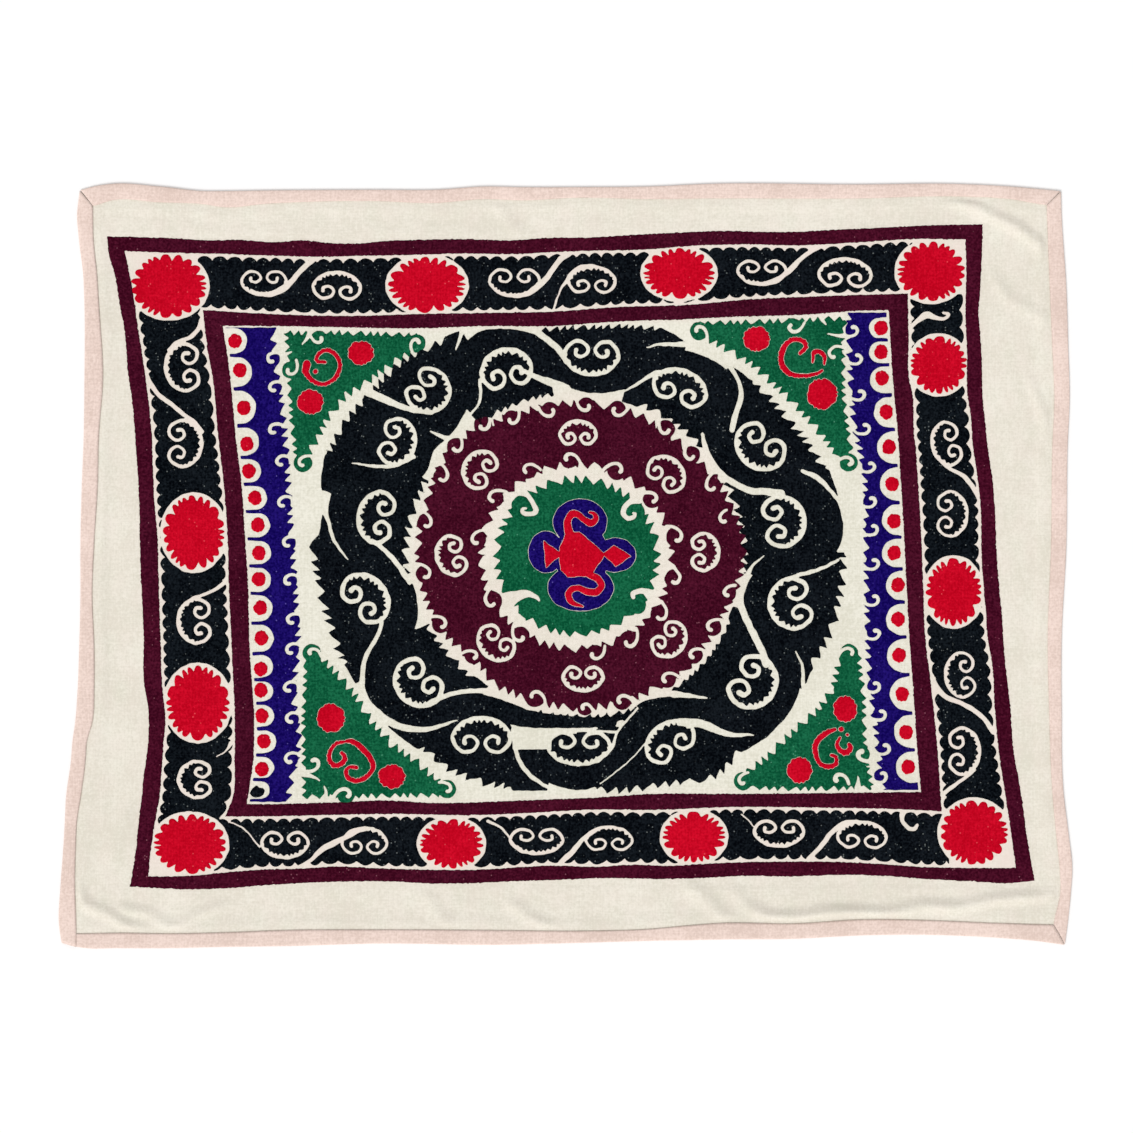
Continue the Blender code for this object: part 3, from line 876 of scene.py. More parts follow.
def stitched_band(name, sides):
    """A closed ribbon from its four sides, clockwise from the top left."""
    directions = ((True, False), (False, False), (True, True), (False, True))
    made = [band_side(outer, inner, *way) for (outer, inner), way in zip(sides, directions)]
    places = mm(np.concatenate([place for place, _ in made]))
    width = np.concatenate([wide for _, wide in made])
    share = np.array(BAND_ROWS)[None]
    inside = np.minimum(share, 1 - share) * width
    x, y = places[..., 0], places[..., 1]
    z = pile_height(x, y, inside)
    which = np.concatenate([np.full(len(place), k) for k, (place, _) in enumerate(made)])
    finish = np.repeat(which % 2, len(BAND_ROWS) - 1)
    faces = grid_faces(len(x), len(BAND_ROWS), closed=True)[:, ::-1]
    piece = new_piece(name, np.stack([x, y, z], -1).reshape(-1, 3), [faces], [MAROON, MAROON_ACROSS],
                      finish)
    print(name, len(faces), "faces")
    return piece


stitched_band("band_outer", ((OUTER_TOP, OUTER_TOP_IN), (OUTER_RIGHT, OUTER_RIGHT_IN),
                             (OUTER_BOTTOM, OUTER_BOTTOM_IN), (OUTER_LEFT, OUTER_LEFT_IN)))
stitched_band("band_inner", ((INNER_TOP, INNER_TOP_IN), (INNER_RIGHT, INNER_RIGHT_IN),
                             (INNER_BOTTOM, INNER_BOTTOM_IN), (INNER_LEFT, INNER_LEFT_IN)))

# %% [markdown]
# The patterned stitching is drawn as a field. Over a rectangle of the cloth, a fine grid holds one number
# per place: how far it lies inside the stitching, negative outside. Joining two shapes takes the larger
# number, and cutting one out of the other takes the smaller of one and minus the other. The outline is
# where the field is zero, and it is cut out of the grid's squares case by case (marching squares).

# %% Patch of a drawing
OUTSIDE = -50.0
HAND_LENGTH = 17.0
TOOTH_JITTER = 0.2
NOTCH_BULGE = 0.55  # share of a serrated line's notch that is added to its width between the teeth
STROKE_ROOM = 8.0
NOTCH_FADE = 12.0
GRID_PITCH = 1.8  # millimetres between the grid's lines, and closer for the smaller motifs
CLOSE_PITCH = 1.7


class Patch:
    """A rectangle between two photo corners. The drawing is read a little off its true place, because a
    hand draws unevenly."""

    def __init__(self, left, top, right, bottom, pitch, seed, wobble=0.5):
        low, high = mm((left, bottom)), mm((right, top))
        self.x = np.arange(low[0], high[0], pitch)
        self.y = np.arange(low[1], high[1], pitch)
        self.place_x, self.place_y = np.meshgrid(self.x, self.y, indexing="ij")
        self.hand_x = self.place_x + wobble * waves(self.place_x, self.place_y, HAND_LENGTH, seed)
        self.hand_y = self.place_y + wobble * waves(self.place_x, self.place_y, HAND_LENGTH, seed + 1)
        self.depth = np.full(self.place_x.shape, OUTSIDE)

    def part(self, path, reach):
        """The window of the grid that holds a path and some room round it."""
        low = path[:, :2].min(0) - reach
        high = path[:, :2].max(0) + reach
        return (slice(*np.searchsorted(self.x, (low[0], high[0]))),
                slice(*np.searchsorted(self.y, (low[1], high[1]))))

    def from_pixel(self, x, y):
        """How far each place lies to the right of a photo pixel, and how far above it, in mm."""
        middle = mm((x, y))
        return self.hand_x - middle[0], self.hand_y - middle[1]

    def line_depth(self, path):
        """How far each place lies inside a line with a width."""
        return stroke_depth(self.hand_x, self.hand_y, path)[0]

    def outline_depth(self, outline):
        """How far each place lies inside a closed outline of photo pixels."""
        return polygon_depth(self.hand_x, self.hand_y, mm(outline))[0]

    def put(self, depth, cut=False, part=np.s_[:, :]):
        """Joins a shape to the drawing, max(old, new), or cuts it out, min(old, -new)."""
        if cut:
            self.depth[part] = np.minimum(self.depth[part], -depth)
        else:
            self.depth[part] = np.maximum(self.depth[part], depth)

    def stroke(self, path, cut=False, notch=0.0, pitch=9.0, notch_side=1, stretch=(0.0, 1.0)):
        """A line with a width. notch makes one of its sides serrated, over a stretch of its length."""
        part = self.part(path, path[:, 2].max() + STROKE_ROOM)
        depth, along, side = stroke_depth(self.hand_x[part], self.hand_y[part], path)
        if notch:
            length = np.hypot(*np.diff(path[:, :2], axis=0).T).sum()
            share = along / length
            fade = (smooth_step((share - stretch[0]) * NOTCH_FADE)
                    * smooth_step((stretch[1] - share) * NOTCH_FADE))
            cut_in = 1 - teeth(along, pitch, length) - NOTCH_BULGE
            depth = depth - notch * fade * smooth_step(side * notch_side + 0.5) * cut_in
        self.put(depth, cut, part)

    def cut_lines(self, lines):
        """Leaves each of these lines bare in the stitching."""
        for line in lines:
            self.stroke(smooth_path(line), cut=True)


def stroke_depth(x, y, path):
    """How far places lie inside a line of varying half width: that half width less the distance, at the
    best of its segments. Also the length along the line there, and the side, positive on its left."""
    best = np.full(x.shape, OUTSIDE)
    along = np.zeros(x.shape)
    side = np.zeros(x.shape)
    done = 0.0
    for a, b in zip(path[:-1], path[1:]):
        run = math.hypot(b[0] - a[0], b[1] - a[1])
        if run == 0:
            continue
        way_x, way_y = (b[0] - a[0]) / run, (b[1] - a[1]) / run
        from_x, from_y = x - a[0], y - a[1]
        t = np.clip((from_x * way_x + from_y * way_y) / run, 0, 1)
        depth = a[2] + t * (b[2] - a[2]) - np.hypot(from_x - t * run * way_x, from_y - t * run * way_y)
        nearer = depth > best
        best = np.where(nearer, depth, best)
        along = np.where(nearer, done + t * run, along)
        side = np.where(nearer, way_x * from_y - way_y * from_x, side)
        done += run
    return best, along, side


def teeth(along, pitch, seed, power=1.0):
    """0 at each tip and 1 in each notch: a triangle wave whose teeth vary a little in width."""
    turns = along / pitch
    turns = turns + TOOTH_JITTER * (np.sin(1.7 * turns + seed) + 0.6 * np.sin(0.63 * turns + 2 * seed))
    return np.abs(2 * (turns - np.floor(turns)) - 1) ** power


def smooth_path(rows, step=3.0):
    """A Catmull-Rom curve through rows of pixel x, pixel y and half width in mm, as short segments."""
    rows = np.asarray(rows, float)
    points = np.column_stack([mm(rows[:, :2]), rows[:, 2]])
    points = np.vstack([2 * points[0] - points[1], points, 2 * points[-1] - points[-2]])
    made = []
    for a, b, c, d in zip(points[:-3], points[1:-2], points[2:-1], points[3:]):
        count = max(2, math.ceil(np.hypot(*(c - b)[:2]) / step))
        t = (np.arange(count) / count)[:, None]
        made.append(0.5 * (2 * b + (c - a) * t + (2 * a - 5 * b + 4 * c - d) * t**2
                           + (3 * b - a - 3 * c + d) * t**3))
    path = np.vstack([*made, points[-2]])
    path[:, 2] = np.clip(path[:, 2], 0.3, None)
    return path


def polygon_depth(x, y, corners):
    """Distance inside a closed outline, negative outside, and the length along the outline at the
    nearest point. A place is inside if a ray from it crosses the outline an odd number of times."""
    closed = np.vstack([corners, corners[:1]])
    path = np.column_stack([closed, np.zeros(len(closed))])
    away, along, _ = stroke_depth(x, y, path)
    odd = np.zeros(x.shape, bool)
    for (ax, ay), (bx, by) in zip(closed[:-1], closed[1:]):
        if ay != by:
            odd ^= ((ay > y) != (by > y)) & (x < (bx - ax) * (y - ay) / (by - ay) + ax)
    return np.where(odd, -away, away), along


# %% [markdown]
# Suzani stitchers draw with a few set shapes: the C-shaped scroll with curled ends, the hook that curls
# round a ball at the edge of a leaf, and the rosette with many petals. Each is written once here.

# %% Scroll, hook and rosette
# Half a scroll, from the middle of its back to the tip of its curl: forwards as a share of its depth,
# sideways as a share of half its span, and thickness.
SCROLL_HALF = (
    (-1.0, 0.0, 1.0), (-0.76, 0.6, 1.0), (-0.12, 0.97, 0.85), (0.45, 0.95, 0.8), (0.93, 0.66, 0.8),
    (0.86, 0.3, 0.75), (0.42, 0.13, 0.7), (0.05, 0.33, 0.7), (0.14, 0.58, 0.75), (0.42, 0.58, 0.95),
)
SCROLL_BACK = (0.27, 0.73)  # the stretch of a scroll's line that is serrated
Scroll = namedtuple("Scroll", "x y opens span depth half_width")
Hook = namedtuple("Hook", "x y start sweep radius half_width")


def scroll_path(scroll):
    """A scroll's line: its half table and the mirror image of it, turned to open the given way."""
    half = np.array(SCROLL_HALF)
    whole = np.vstack([(half * (1, -1, 1))[:0:-1], half])
    line_width = 2 * scroll.half_width / PIXEL
    forward = whole[:, 0] * (scroll.depth - line_width) / 2
    sideways = whole[:, 1] * (scroll.span - line_width) / 2
    turn = math.radians(scroll.opens)
    x = scroll.x + forward * math.cos(turn) - sideways * math.sin(turn)
    y = scroll.y - forward * math.sin(turn) - sideways * math.cos(turn)
    return smooth_path(np.column_stack([x, y, whole[:, 2] * scroll.half_width]), step=2.5)


def cut_scroll(patch, scroll, notch=6.0, pitch=10.5):
    """Leaves a scroll bare in the stitching, its back serrated on the inner side."""
    patch.stroke(scroll_path(scroll), cut=True, notch=notch, pitch=pitch, notch_side=-1,
                 stretch=SCROLL_BACK)


def hook_path(x, y, start, sweep, radius, half_width):
    """A bare curl round a ball: it comes in from the ground at the start angle and winds inwards."""
    t = np.linspace(0, 1, 16)
    angle = np.radians(start + sweep * t)
    away = radius * (1 + 1.1 * (1 - t) ** 6 - 0.5 * t**1.5)
    half = half_width * (0.8 + 0.35 * t)
    return smooth_path(np.column_stack([x + away * np.cos(angle), y - away * np.sin(angle), half]), step=2.0)


def balled_hook(patch, hook, ball):
    """A hook with the stitched ball that it winds round."""
    patch.put(ball * PIXEL - np.hypot(*patch.from_pixel(hook.x, hook.y)))
    patch.stroke(hook_path(*hook), cut=True)


def rosette_depth(patch, x, y, across, up, petals, petal_depth, seed, power=1.5):
    """Depth inside an oval with petals: the oval's radius less the petal notch, less the distance."""
    dx, dy = patch.from_pixel(x, y)
    dx = dx / (across * PIXEL)
    dy = dy / (up * PIXEL)
    size = min(across, up) * PIXEL
    along = np.arctan2(dy, dx) / (2 * math.pi) * petals
    notch = teeth(along + 0.35 * np.sin(2 * math.pi * along / petals * 3 + seed), 1.0, 0.0, power)
    notch = notch * (1 + 0.25 * np.sin(2 * math.pi * along / petals * 5 + 2 * seed))
    return (1 - np.hypot(dx, dy)) * size - petal_depth * notch


# %% [markdown]
# The last step turns a field into stitching. Grid squares that lie inside keep their four corners, and
# those on the outline are cut between them. Every point is then lifted from the cloth by the pile's
# section: a steep rounded edge and a flat top.

# %% Field to mesh
# For each of a square's 16 cases (which corners lie inside: 1, 2, 4 and 8 counterclockwise from the lower
# left), the triangles and quads to make. 0 to 3 are its corners and 4 to 7 the cuts on its sides.
SQUARE_CASES = {
    1: ((0, 4, 7),), 2: ((1, 5, 4),), 4: ((2, 6, 5),), 8: ((3, 7, 6),),
    3: ((0, 1, 5, 7),), 6: ((1, 2, 6, 4),), 12: ((2, 3, 7, 5),), 9: ((3, 0, 4, 6),),
    5: ((0, 4, 7), (2, 6, 5)), 10: ((1, 5, 4), (3, 7, 6)),
    7: ((0, 1, 2), (0, 2, 6, 7)), 14: ((1, 2, 3), (1, 3, 7, 4)),
    13: ((2, 3, 0), (2, 0, 4, 5)), 11: ((3, 0, 1), (3, 1, 5, 6)), 15: ((0, 1, 2, 3),),
}


def even_depth(patch):
    """The field as a true distance: divided by how fast it changes, and softened near its kinks."""
    pitch = patch.x[1] - patch.x[0]
    slope_x, slope_y = np.gradient(patch.depth, pitch)
    return patch.depth / np.clip(np.hypot(slope_x, slope_y), 0.6, 4)


def cut_places(low, high, depth_low, depth_high):
    """Where the field is zero between two neighbours, a little away from both."""
    t = np.clip(depth_low / np.where(depth_low == depth_high, 1, depth_low - depth_high), 0.04, 0.96)
    return low + (high - low) * t


def stitched_piece(patch, name, material):
    """Marching squares over the whole grid at once: shared corners, shared cuts, then the faces."""
    depth = patch.depth
    columns, rows = depth.shape
    x, y = patch.place_x, patch.place_y
    side_x = np.stack([cut_places(x[:-1], x[1:], depth[:-1], depth[1:]), y[:-1]], -1)
    side_y = np.stack([x[:, :-1], cut_places(y[:, :-1], y[:, 1:], depth[:, :-1], depth[:, 1:])], -1)
    places = np.concatenate([np.stack([x, y], -1).reshape(-1, 2), side_x.reshape(-1, 2),
                             side_y.reshape(-1, 2)])
    inside = np.concatenate([even_depth(patch).ravel(), np.zeros(side_x.size // 2 + side_y.size // 2)])
    corner = np.arange(columns * rows).reshape(columns, rows)
    on_x = columns * rows + np.arange((columns - 1) * rows).reshape(columns - 1, rows)
    on_y = on_x[-1, -1] + 1 + np.arange(columns * (rows - 1)).reshape(columns, rows - 1)
    square = np.stack([corner[:-1, :-1], corner[1:, :-1], corner[1:, 1:], corner[:-1, 1:],
                       on_x[:, :-1], on_y[1:], on_x[:, 1:], on_y[:-1]], -1)
    full = depth > 0
    case = full[:-1, :-1] + 2 * full[1:, :-1] + 4 * full[1:, 1:] + 8 * full[:-1, 1:]
    faces = []
    for number, shapes in SQUARE_CASES.items():
        here = square[case == number]
        faces += [here[:, list(shape)] for shape in shapes]
    used = np.zeros(len(places), bool)
    for group in faces:
        used[group.ravel()] = True
    new_number = np.cumsum(used) - 1
    x, y = places[used].T
    z = pile_height(x, y, inside[used])
    faces = [new_number[group] for group in faces]
    piece = new_piece(name, np.stack([x, y, z], -1), faces, [material])
    print(name, sum(len(group) for group in faces), "faces")
    return piece


# %% [markdown]
# The ring medallion is one mass of black between two toothed edges. A stem winds through it, and leaves
# fill the room on both sides of the stem. What divides them is bare cloth: fifteen scrolls, and the tails
# that run from the scrolls along the stem.

# %% Black ring
RING_BOX = (296, 316, 862, 806)
RING_PITCH = 2.0
RING_MIDDLE = (580, 559.5)
RING_TIPS = (268, 235)  # half axes of the oval through the outer tooth tips
# The stem, once round from the unfinished place at the bottom: pixel x and y, and half width in mm.
STEM = (
    (612, 722, 7.5), (570, 722, 9), (530, 719, 13), (505, 712, 16), (478, 704.5, 16), (446, 707, 18),
    (427, 713, 18), (400, 712, 18), (379, 690, 19), (378, 657, 18), (399, 629, 22), (403, 604, 22),
    (393, 578, 22), (366, 553, 22), (343, 524, 21), (344, 498, 20), (352, 479, 20), (385, 477, 15),
    (415, 470, 15), (426, 445, 15), (447, 420, 18), (465, 380, 20), (478, 346, 17), (500, 338, 14),
    (530, 345, 17), (558, 367, 20), (586, 383, 14), (616, 380, 17), (643, 366, 22), (680, 359.7, 15),
    (712, 376, 21), (723, 396, 21), (718, 433, 17), (725, 461, 18), (753, 478, 15), (780, 480, 18),
    (810, 486, 21), (825, 518, 25), (823, 543, 24), (800, 558, 17), (772, 569, 18), (756, 596, 18),
    (760, 620, 18), (778, 645, 22), (789, 670, 17), (785, 697, 17), (763, 719, 21), (728, 720, 20),
    (700, 709, 15), (669, 708, 17), (647, 713, 18), (634, 729, 20), (618, 757, 20), (583, 778.5, 17),
    (549, 768, 20), (530, 755, 12),
)
# How far out the tooth tips of the outer leaves lie, by direction in degrees, as a share of the oval.
OUTER_REACH = (
    (-180, 1.01), (-175, 0.997), (-165, 0.99), (-158, 1.0), (-155, 0.985), (-151, 0.99), (-139, 1.01),
    (-129, 1.01), (-122, 1.035), (-112, 1.033), (-108, 1.02), (-100, 0.995), (-97, 0.99), (-90, 0.985),
    (-85, 1.0), (-79, 1.012), (-71, 1.018), (-65, 1.037), (-60, 1.065), (-57, 1.065), (-54, 1.047),
    (-50, 1.02), (-43, 1.028), (-30, 1.0), (-26, 0.985), (-20, 1.0), (15, 1.0), (20, 1.005), (27, 1.0),
    (34, 0.996), (40, 1.005), (43, 1.01), (47, 0.995), (52, 1.0), (63, 1.0), (67, 1.019), (71.5, 1.035),
    (78, 1.023), (85, 1.005), (90, 1.0), (105, 1.0), (117, 1.07), (124, 1.08), (132, 1.09), (141, 1.073),
    (150, 1.07), (156, 1.06), (163, 1.024), (166, 1.0), (170, 0.98), (174.6, 0.98), (177, 1.015), (180, 1.01),
)
# How far in the tips of the inner leaves reach, in pixels from the middle.
INNER_REACH = ((-180, 170), (-140, 157), (-90, 154), (-38, 159), (15, 160), (63, 162), (117, 166), (180, 170))
# The two last numbers are how many degrees at a leaf's start and stop have no teeth.
Leaf = namedtuple("Leaf", "start stop tooth pitch plain_start plain_stop", defaults=(0, 0))
OUTER_LEAVES = named_rows(Leaf, (
    (101, 63.4, 8.5, 13.5, 0, 8), (52.4, 13.5, 13, 17.5, 7, 7), (1.6, -30.4, 13.5, 19.5, 0, 6),
    (-41, -86, 11, 18.5, 9, 0), (-98, -139, 12, 19, 9, 9), (-151, -190, 13.5, 19.5, 5, 7),
    (165, 143.7, 12, 17, 8, 0), (143.7, 117.2, 12, 16, 0, 4),
))
INNER_LEAVES = named_rows(Leaf, (
    (126.9, 99, 7, 14), (75.3, 41.5, 11, 17, 6), (28.8, -5, 13, 17), (-17, -55, 6, 13, 5),
    (-71, -105, 8, 14), (-125.8, -157, 10, 17, 6), (-174, -207.5, 13, 17),
))
LEAF_LEAN = 0.55
LEAF_POWER = 0.9
RING_SCROLLS = named_rows(Scroll, (
    (506, 368.5, -78, 55, 42, 3.8), (591.5, 357.5, 88, 58, 38, 3.4), (680.5, 387, -110, 59, 37, 3.6),
    (759, 448, 51, 57, 43, 3.8), (784, 521, 190, 55, 45, 3.9), (790, 604, 11, 55, 45, 3.7),
    (754, 683, 152, 58, 48, 4.0), (669, 740.5, -57, 56, 38, 3.4), (579, 748, 90, 66, 36, 3.2),
    (481.5, 735.5, -90, 62, 39, 3.4), (417, 684, 45, 56, 44, 3.9), (367, 597, 221, 58, 42, 3.9),
    (376, 517, -10, 56, 39, 3.7), (398, 442, 165, 50, 38, 3.2), (429.5, 391.5, 145, 48, 44, 3.4),
))
# Bare lines beside the stem, with half widths in mm.
RING_LINES = (
    ((480, 380, 2.4), (480.5, 392, 2), (479, 403, 1.8), (471, 414, 1.6), (462, 424, 1)),
    ((520, 369, 2.2), (536, 377, 4), (552, 383, 5.5), (566, 389, 7)),
    ((464, 326, 4), (460, 338, 2.6), (456, 350, 0.8)),
    ((528, 326, 4.5), (545, 338, 4.5), (559, 350, 4.5), (566, 362, 3.5)),
    ((670, 371.5, 2.2), (656, 373, 3.4), (645, 379, 2.4), (634, 386, 1.8), (623, 391.5, 0.8)),
    ((646, 348, 0.9), (660, 344.5, 2.2), (688, 345, 4), (700, 349, 6)),
    ((732, 430, 4), (735, 416, 4), (741, 396, 3.6), (738, 380, 2.8), (728, 364, 3.5)),
    ((802, 471, 2.2), (816, 477, 3.8), (827, 487, 3), (838, 500, 2.5)),
    ((781, 494, 6), (765, 491.5, 5), (748, 490, 4.6), (722, 475, 4.6), (708, 455, 4.2), (702, 434, 2.4)),
    ((764, 556, 0.8), (753, 565, 1.8), (747, 576, 3)),
    ((790, 578, 2.4), (800, 574.7, 2.8), (820, 569, 2.4), (838, 560, 2)),
    ((795, 651, 0.8), (802, 665, 2), (803, 680, 2.4), (804, 694, 4)),
    ((766, 664, 5.5), (762, 651, 5), (748, 623, 4.8), (740, 604, 5)),
    ((707, 698, 1), (691, 696, 3), (674, 694, 5)),
    ((680, 722, 5.5), (702, 724, 6), (728, 734, 3.8), (755, 734.5, 0.8)),
    ((648, 740, 0.9), (630, 760, 0.9), (600, 784, 0.9)),
    ((638, 708, 1.6), (618, 731, 1.6), (611, 749, 2.2), (591, 763, 2.4)),
    ((578, 730.5, 1.8), (617, 732, 1.8)),
    ((457, 720, 0.9), (440, 726, 2.6), (423, 729.5, 3.8), (402, 727, 5), (385, 719, 5.5), (372, 708, 6)),
    ((512, 732, 1.6), (515, 745, 2.6), (519, 760, 3.2), (531, 776, 2.8), (552, 790, 2.4)),
    ((424, 706, 3.2), (440, 698, 3.4), (455, 693, 3.2), (470, 691, 3), (488, 691, 4), (505, 694, 5),
     (520, 700, 6)),
    ((455, 440, 4), (443, 437, 3), (430, 431, 1)),
    ((382, 622, 2.6), (378, 635, 2.8), (365, 659, 3), (362, 684, 4)),
    ((372, 541, 3), (381, 547, 3.2), (395, 561, 3.6), (410, 582, 4)),
    ((414, 457, 3), (393, 465.8, 3), (372, 466, 2), (352, 463, 0.8)),
    ((432, 413, 2.6), (418, 411, 3.4), (400, 406, 4.4), (368, 392, 6)),
    ((322, 506, 5), (328, 520, 2.6), (334, 540, 2.4), (348, 560, 0.8)),
)
# Black between the stem's two ends, and the bare place in it.
STEM_OVERLAP = ((532, 752, 18), (560, 748, 28), (592, 748, 28), (614, 738, 18))
UNFINISHED = ((511, 728.5), (577, 728.5), (577, 733.5), (552, 735), (551, 749), (513, 749.5))


def ring_table(table, angle):
    """A measure by direction: straight lines between the directions at which it is noted."""
    rows = np.array(table, float)
    return np.interp(angle, rows[:, 0], rows[:, 1])


def stem_distance(rows, angle):
    """How far from the ring's middle the stem runs, by direction."""
    stem = smooth_path(rows, 5)
    middle = mm(RING_MIDDLE)
    turned = np.degrees(np.unwrap(np.arctan2(stem[:, 1] - middle[1], stem[:, 0] - middle[0])))
    away = np.hypot(stem[:, 0] - middle[0], stem[:, 1] - middle[1])
    order = np.argsort(turned)
    return np.interp(angle, turned[order], away[order], period=360)


def leaf_depth(leaf, inside, beyond, angle, edge, lean, seed):
    """A leaf fills a sector between the stem and its toothed edge: the least of the distance inside the
    edge less the teeth, the distance beyond the stem's middle, and the distance from the sector's ends."""
    turned = np.mod(leaf.start - angle + 60, 360) - 60
    ends = np.minimum(turned, leaf.start - leaf.stop - turned)
    arc = np.radians(turned) * edge
    fade = (smooth_step((turned - leaf.plain_start) / 2 + 0.5)
            * smooth_step((leaf.start - leaf.stop - turned - leaf.plain_stop) / 2 + 0.5))
    toothed = inside - leaf.tooth * fade * teeth(arc + lean * inside, leaf.pitch, seed, LEAF_POWER)
    return np.minimum.reduce([toothed, beyond, np.radians(ends) * edge])


def black_ring():
    """Stem and leaves joined, less the bare lines, the scrolls and the unfinished place."""
    patch = Patch(*RING_BOX, RING_PITCH, seed=11)
    x, y = patch.from_pixel(*RING_MIDDLE)
    away = np.hypot(x, y)
    angle = np.degrees(np.arctan2(y, x))
    half_x, half_y = np.array(RING_TIPS) * PIXEL
    oval = 1 / np.hypot(np.cos(np.radians(angle)) / half_x, np.sin(np.radians(angle)) / half_y)
    patch.stroke(smooth_path(STEM, 5))
    edge = oval * ring_table(OUTER_REACH, angle)
    stem = stem_distance(STEM[3:], angle)
    for number, leaf in enumerate(OUTER_LEAVES):
        patch.put(leaf_depth(leaf, edge - away, away - stem, angle, edge, LEAF_LEAN, 3 * number))
    edge = ring_table(INNER_REACH, angle) * PIXEL
    stem = stem_distance(STEM[:-5], angle)
    for number, leaf in enumerate(INNER_LEAVES):
        patch.put(leaf_depth(leaf, away - edge, stem - away, angle, edge, -LEAF_LEAN, 3 * number + 1))
    patch.stroke(smooth_path(STEM_OVERLAP))
    patch.cut_lines(RING_LINES)
    for scroll in RING_SCROLLS:
        cut_scroll(patch, scroll)
    patch.put(patch.outline_depth(UNFINISHED), cut=True)
    stitched_piece(patch, "ring_black", BLACK)


black_ring()

# %% [markdown]
# Inside the black ring lies a maroon one, toothed on both edges. Among its teeth stand balls with a bare
# hook curled round each, and eight small scrolls are spaced round its middle.

# %% Maroon ring
INNER_RING_BOX = (404, 392, 756, 722)
INNER_RING_TIPS = (165, 157)
INNER_RING_HOLE_MIDDLE = (576.5, 556.5)
INNER_RING_HOLE = (91, 88)
# How far out the outer tips lie by direction in degrees, as a share of the oval.
MAROON_REACH = (
    (-180, 1.0), (-153, 0.985), (-143, 0.955), (-132, 0.94), (-124, 0.985), (-110, 0.98), (-95, 0.985),
    (-70, 0.99), (-60, 0.98), (-50, 1.0), (-40, 0.98), (-28, 0.965), (-15, 0.985), (0, 1.03), (9, 1.03),
    (20, 1.0), (30, 1.0), (39, 0.97), (55, 0.98), (67, 1.0), (110, 1.01), (123, 1.03), (132, 1.06),
    (140, 1.07), (150, 1.04), (160, 1.01), (180, 1.0),
)
EVEN_REACH = ((-180, 1.0), (180, 1.0))
TOOTH_POWER = 0.95  # just below 1, so that the tips are a little sharper
MAROON_TOOTH = 12.0
MAROON_PITCH = 18.0
MAROON_LEAN = 0.3
MAROON_HOOK = 2.5  # half width of the bare hooks
MAROON_SCROLLS = named_rows(Scroll, (
    (578, 433, -90, 40, 27, 3.0), (479, 469, -31, 43, 34, 3.3), (451, 556, 15, 44, 32, 3.2),
    (495, 644, 48, 44, 32, 3.0), (583, 678.5, 90, 44, 28, 3.2), (670, 640.5, 138, 42, 32, 3.0),
    (705, 552, 180, 41, 31, 3.2), (667, 473, 230, 44, 33, 3.0),
))
# Hooks on the outer edge and round the hole: pixel x and y, 1 for counterclockwise, and radius in mm.
OUTER_HOOKS = (
    (426, 523, -1, 5.8), (442, 477, -1, 5.8), (456, 447, -1, 6), (483, 425, -1, 6), (512, 419, -1, 5.5),
    (550, 411, 1, 6), (586, 406, 1, 5.5), (617, 410, -1, 6), (666, 429, 1, 6), (691, 455, 1, 6),
    (712, 486, 1, 6), (724, 519, 1, 4.5), (728, 593, 1, 5), (712, 627, 1, 6), (694, 655, 1, 5.5),
    (667, 679, 1, 6), (622, 701, 1, 6), (585, 708, 1, 4.5), (535, 697, 1, 7), (473, 656, -1, 5),
    (441, 624, -1, 6), (425, 574, -1, 6),
)
INNER_HOOKS = (
    (528, 470, 1, 6), (494, 498, 1, 6.5), (477, 540, 1, 6), (569, 459, 1, 6), (617, 470, -1, 7),
    (652, 499, -1, 6), (676, 537, -1, 7), (674, 579, -1, 6.5), (660, 615, -1, 6.5), (629, 641, -1, 7),
    (595, 654, -1, 6), (520, 636, 1, 6.5), (492, 601, 1, 7),
)
HOOK_LEAD = 60  # degrees from the outward direction to where a hook starts
HOOK_SWEEP = 220
HOOK_ROOM = 3.2  # how far the ball reaches beyond the hook's line


def toothed_oval(patch, middle, tips, tooth, pitch, seed, lean, outwards=True, reach=EVEN_REACH):
    """Depth inside an oval with teeth that lean round it; outwards is False for a hole's edge."""
    x, y = patch.from_pixel(*middle)
    away = np.hypot(x, y)
    angle = np.arctan2(y, x)
    edge = ring_table(reach, np.degrees(angle))
    edge = edge / np.hypot(np.cos(angle) / (tips[0] * PIXEL), np.sin(angle) / (tips[1] * PIXEL))
    inside = (edge - away) if outwards else (away - edge)
    count = round(2 * math.pi * np.mean(tips) * PIXEL / pitch)
    along = (angle / (2 * math.pi) * count) * pitch
    return inside - tooth * teeth(along + lean * inside, pitch, seed, TOOTH_POWER)


def edge_hooks(patch, hooks, half_width, facing):
    """Bare curls just inside an oval edge, each round its own ball; facing is 180 degrees round a hole."""
    for x, y, sense, radius in hooks:
        turn = math.degrees(math.atan2(MEDALLION_MIDDLE[1] - y, x - MEDALLION_MIDDLE[0]))
        hook = Hook(x, y, turn + facing + HOOK_LEAD * sense, HOOK_SWEEP * sense, radius, half_width)
        balled_hook(patch, hook, radius + HOOK_ROOM)


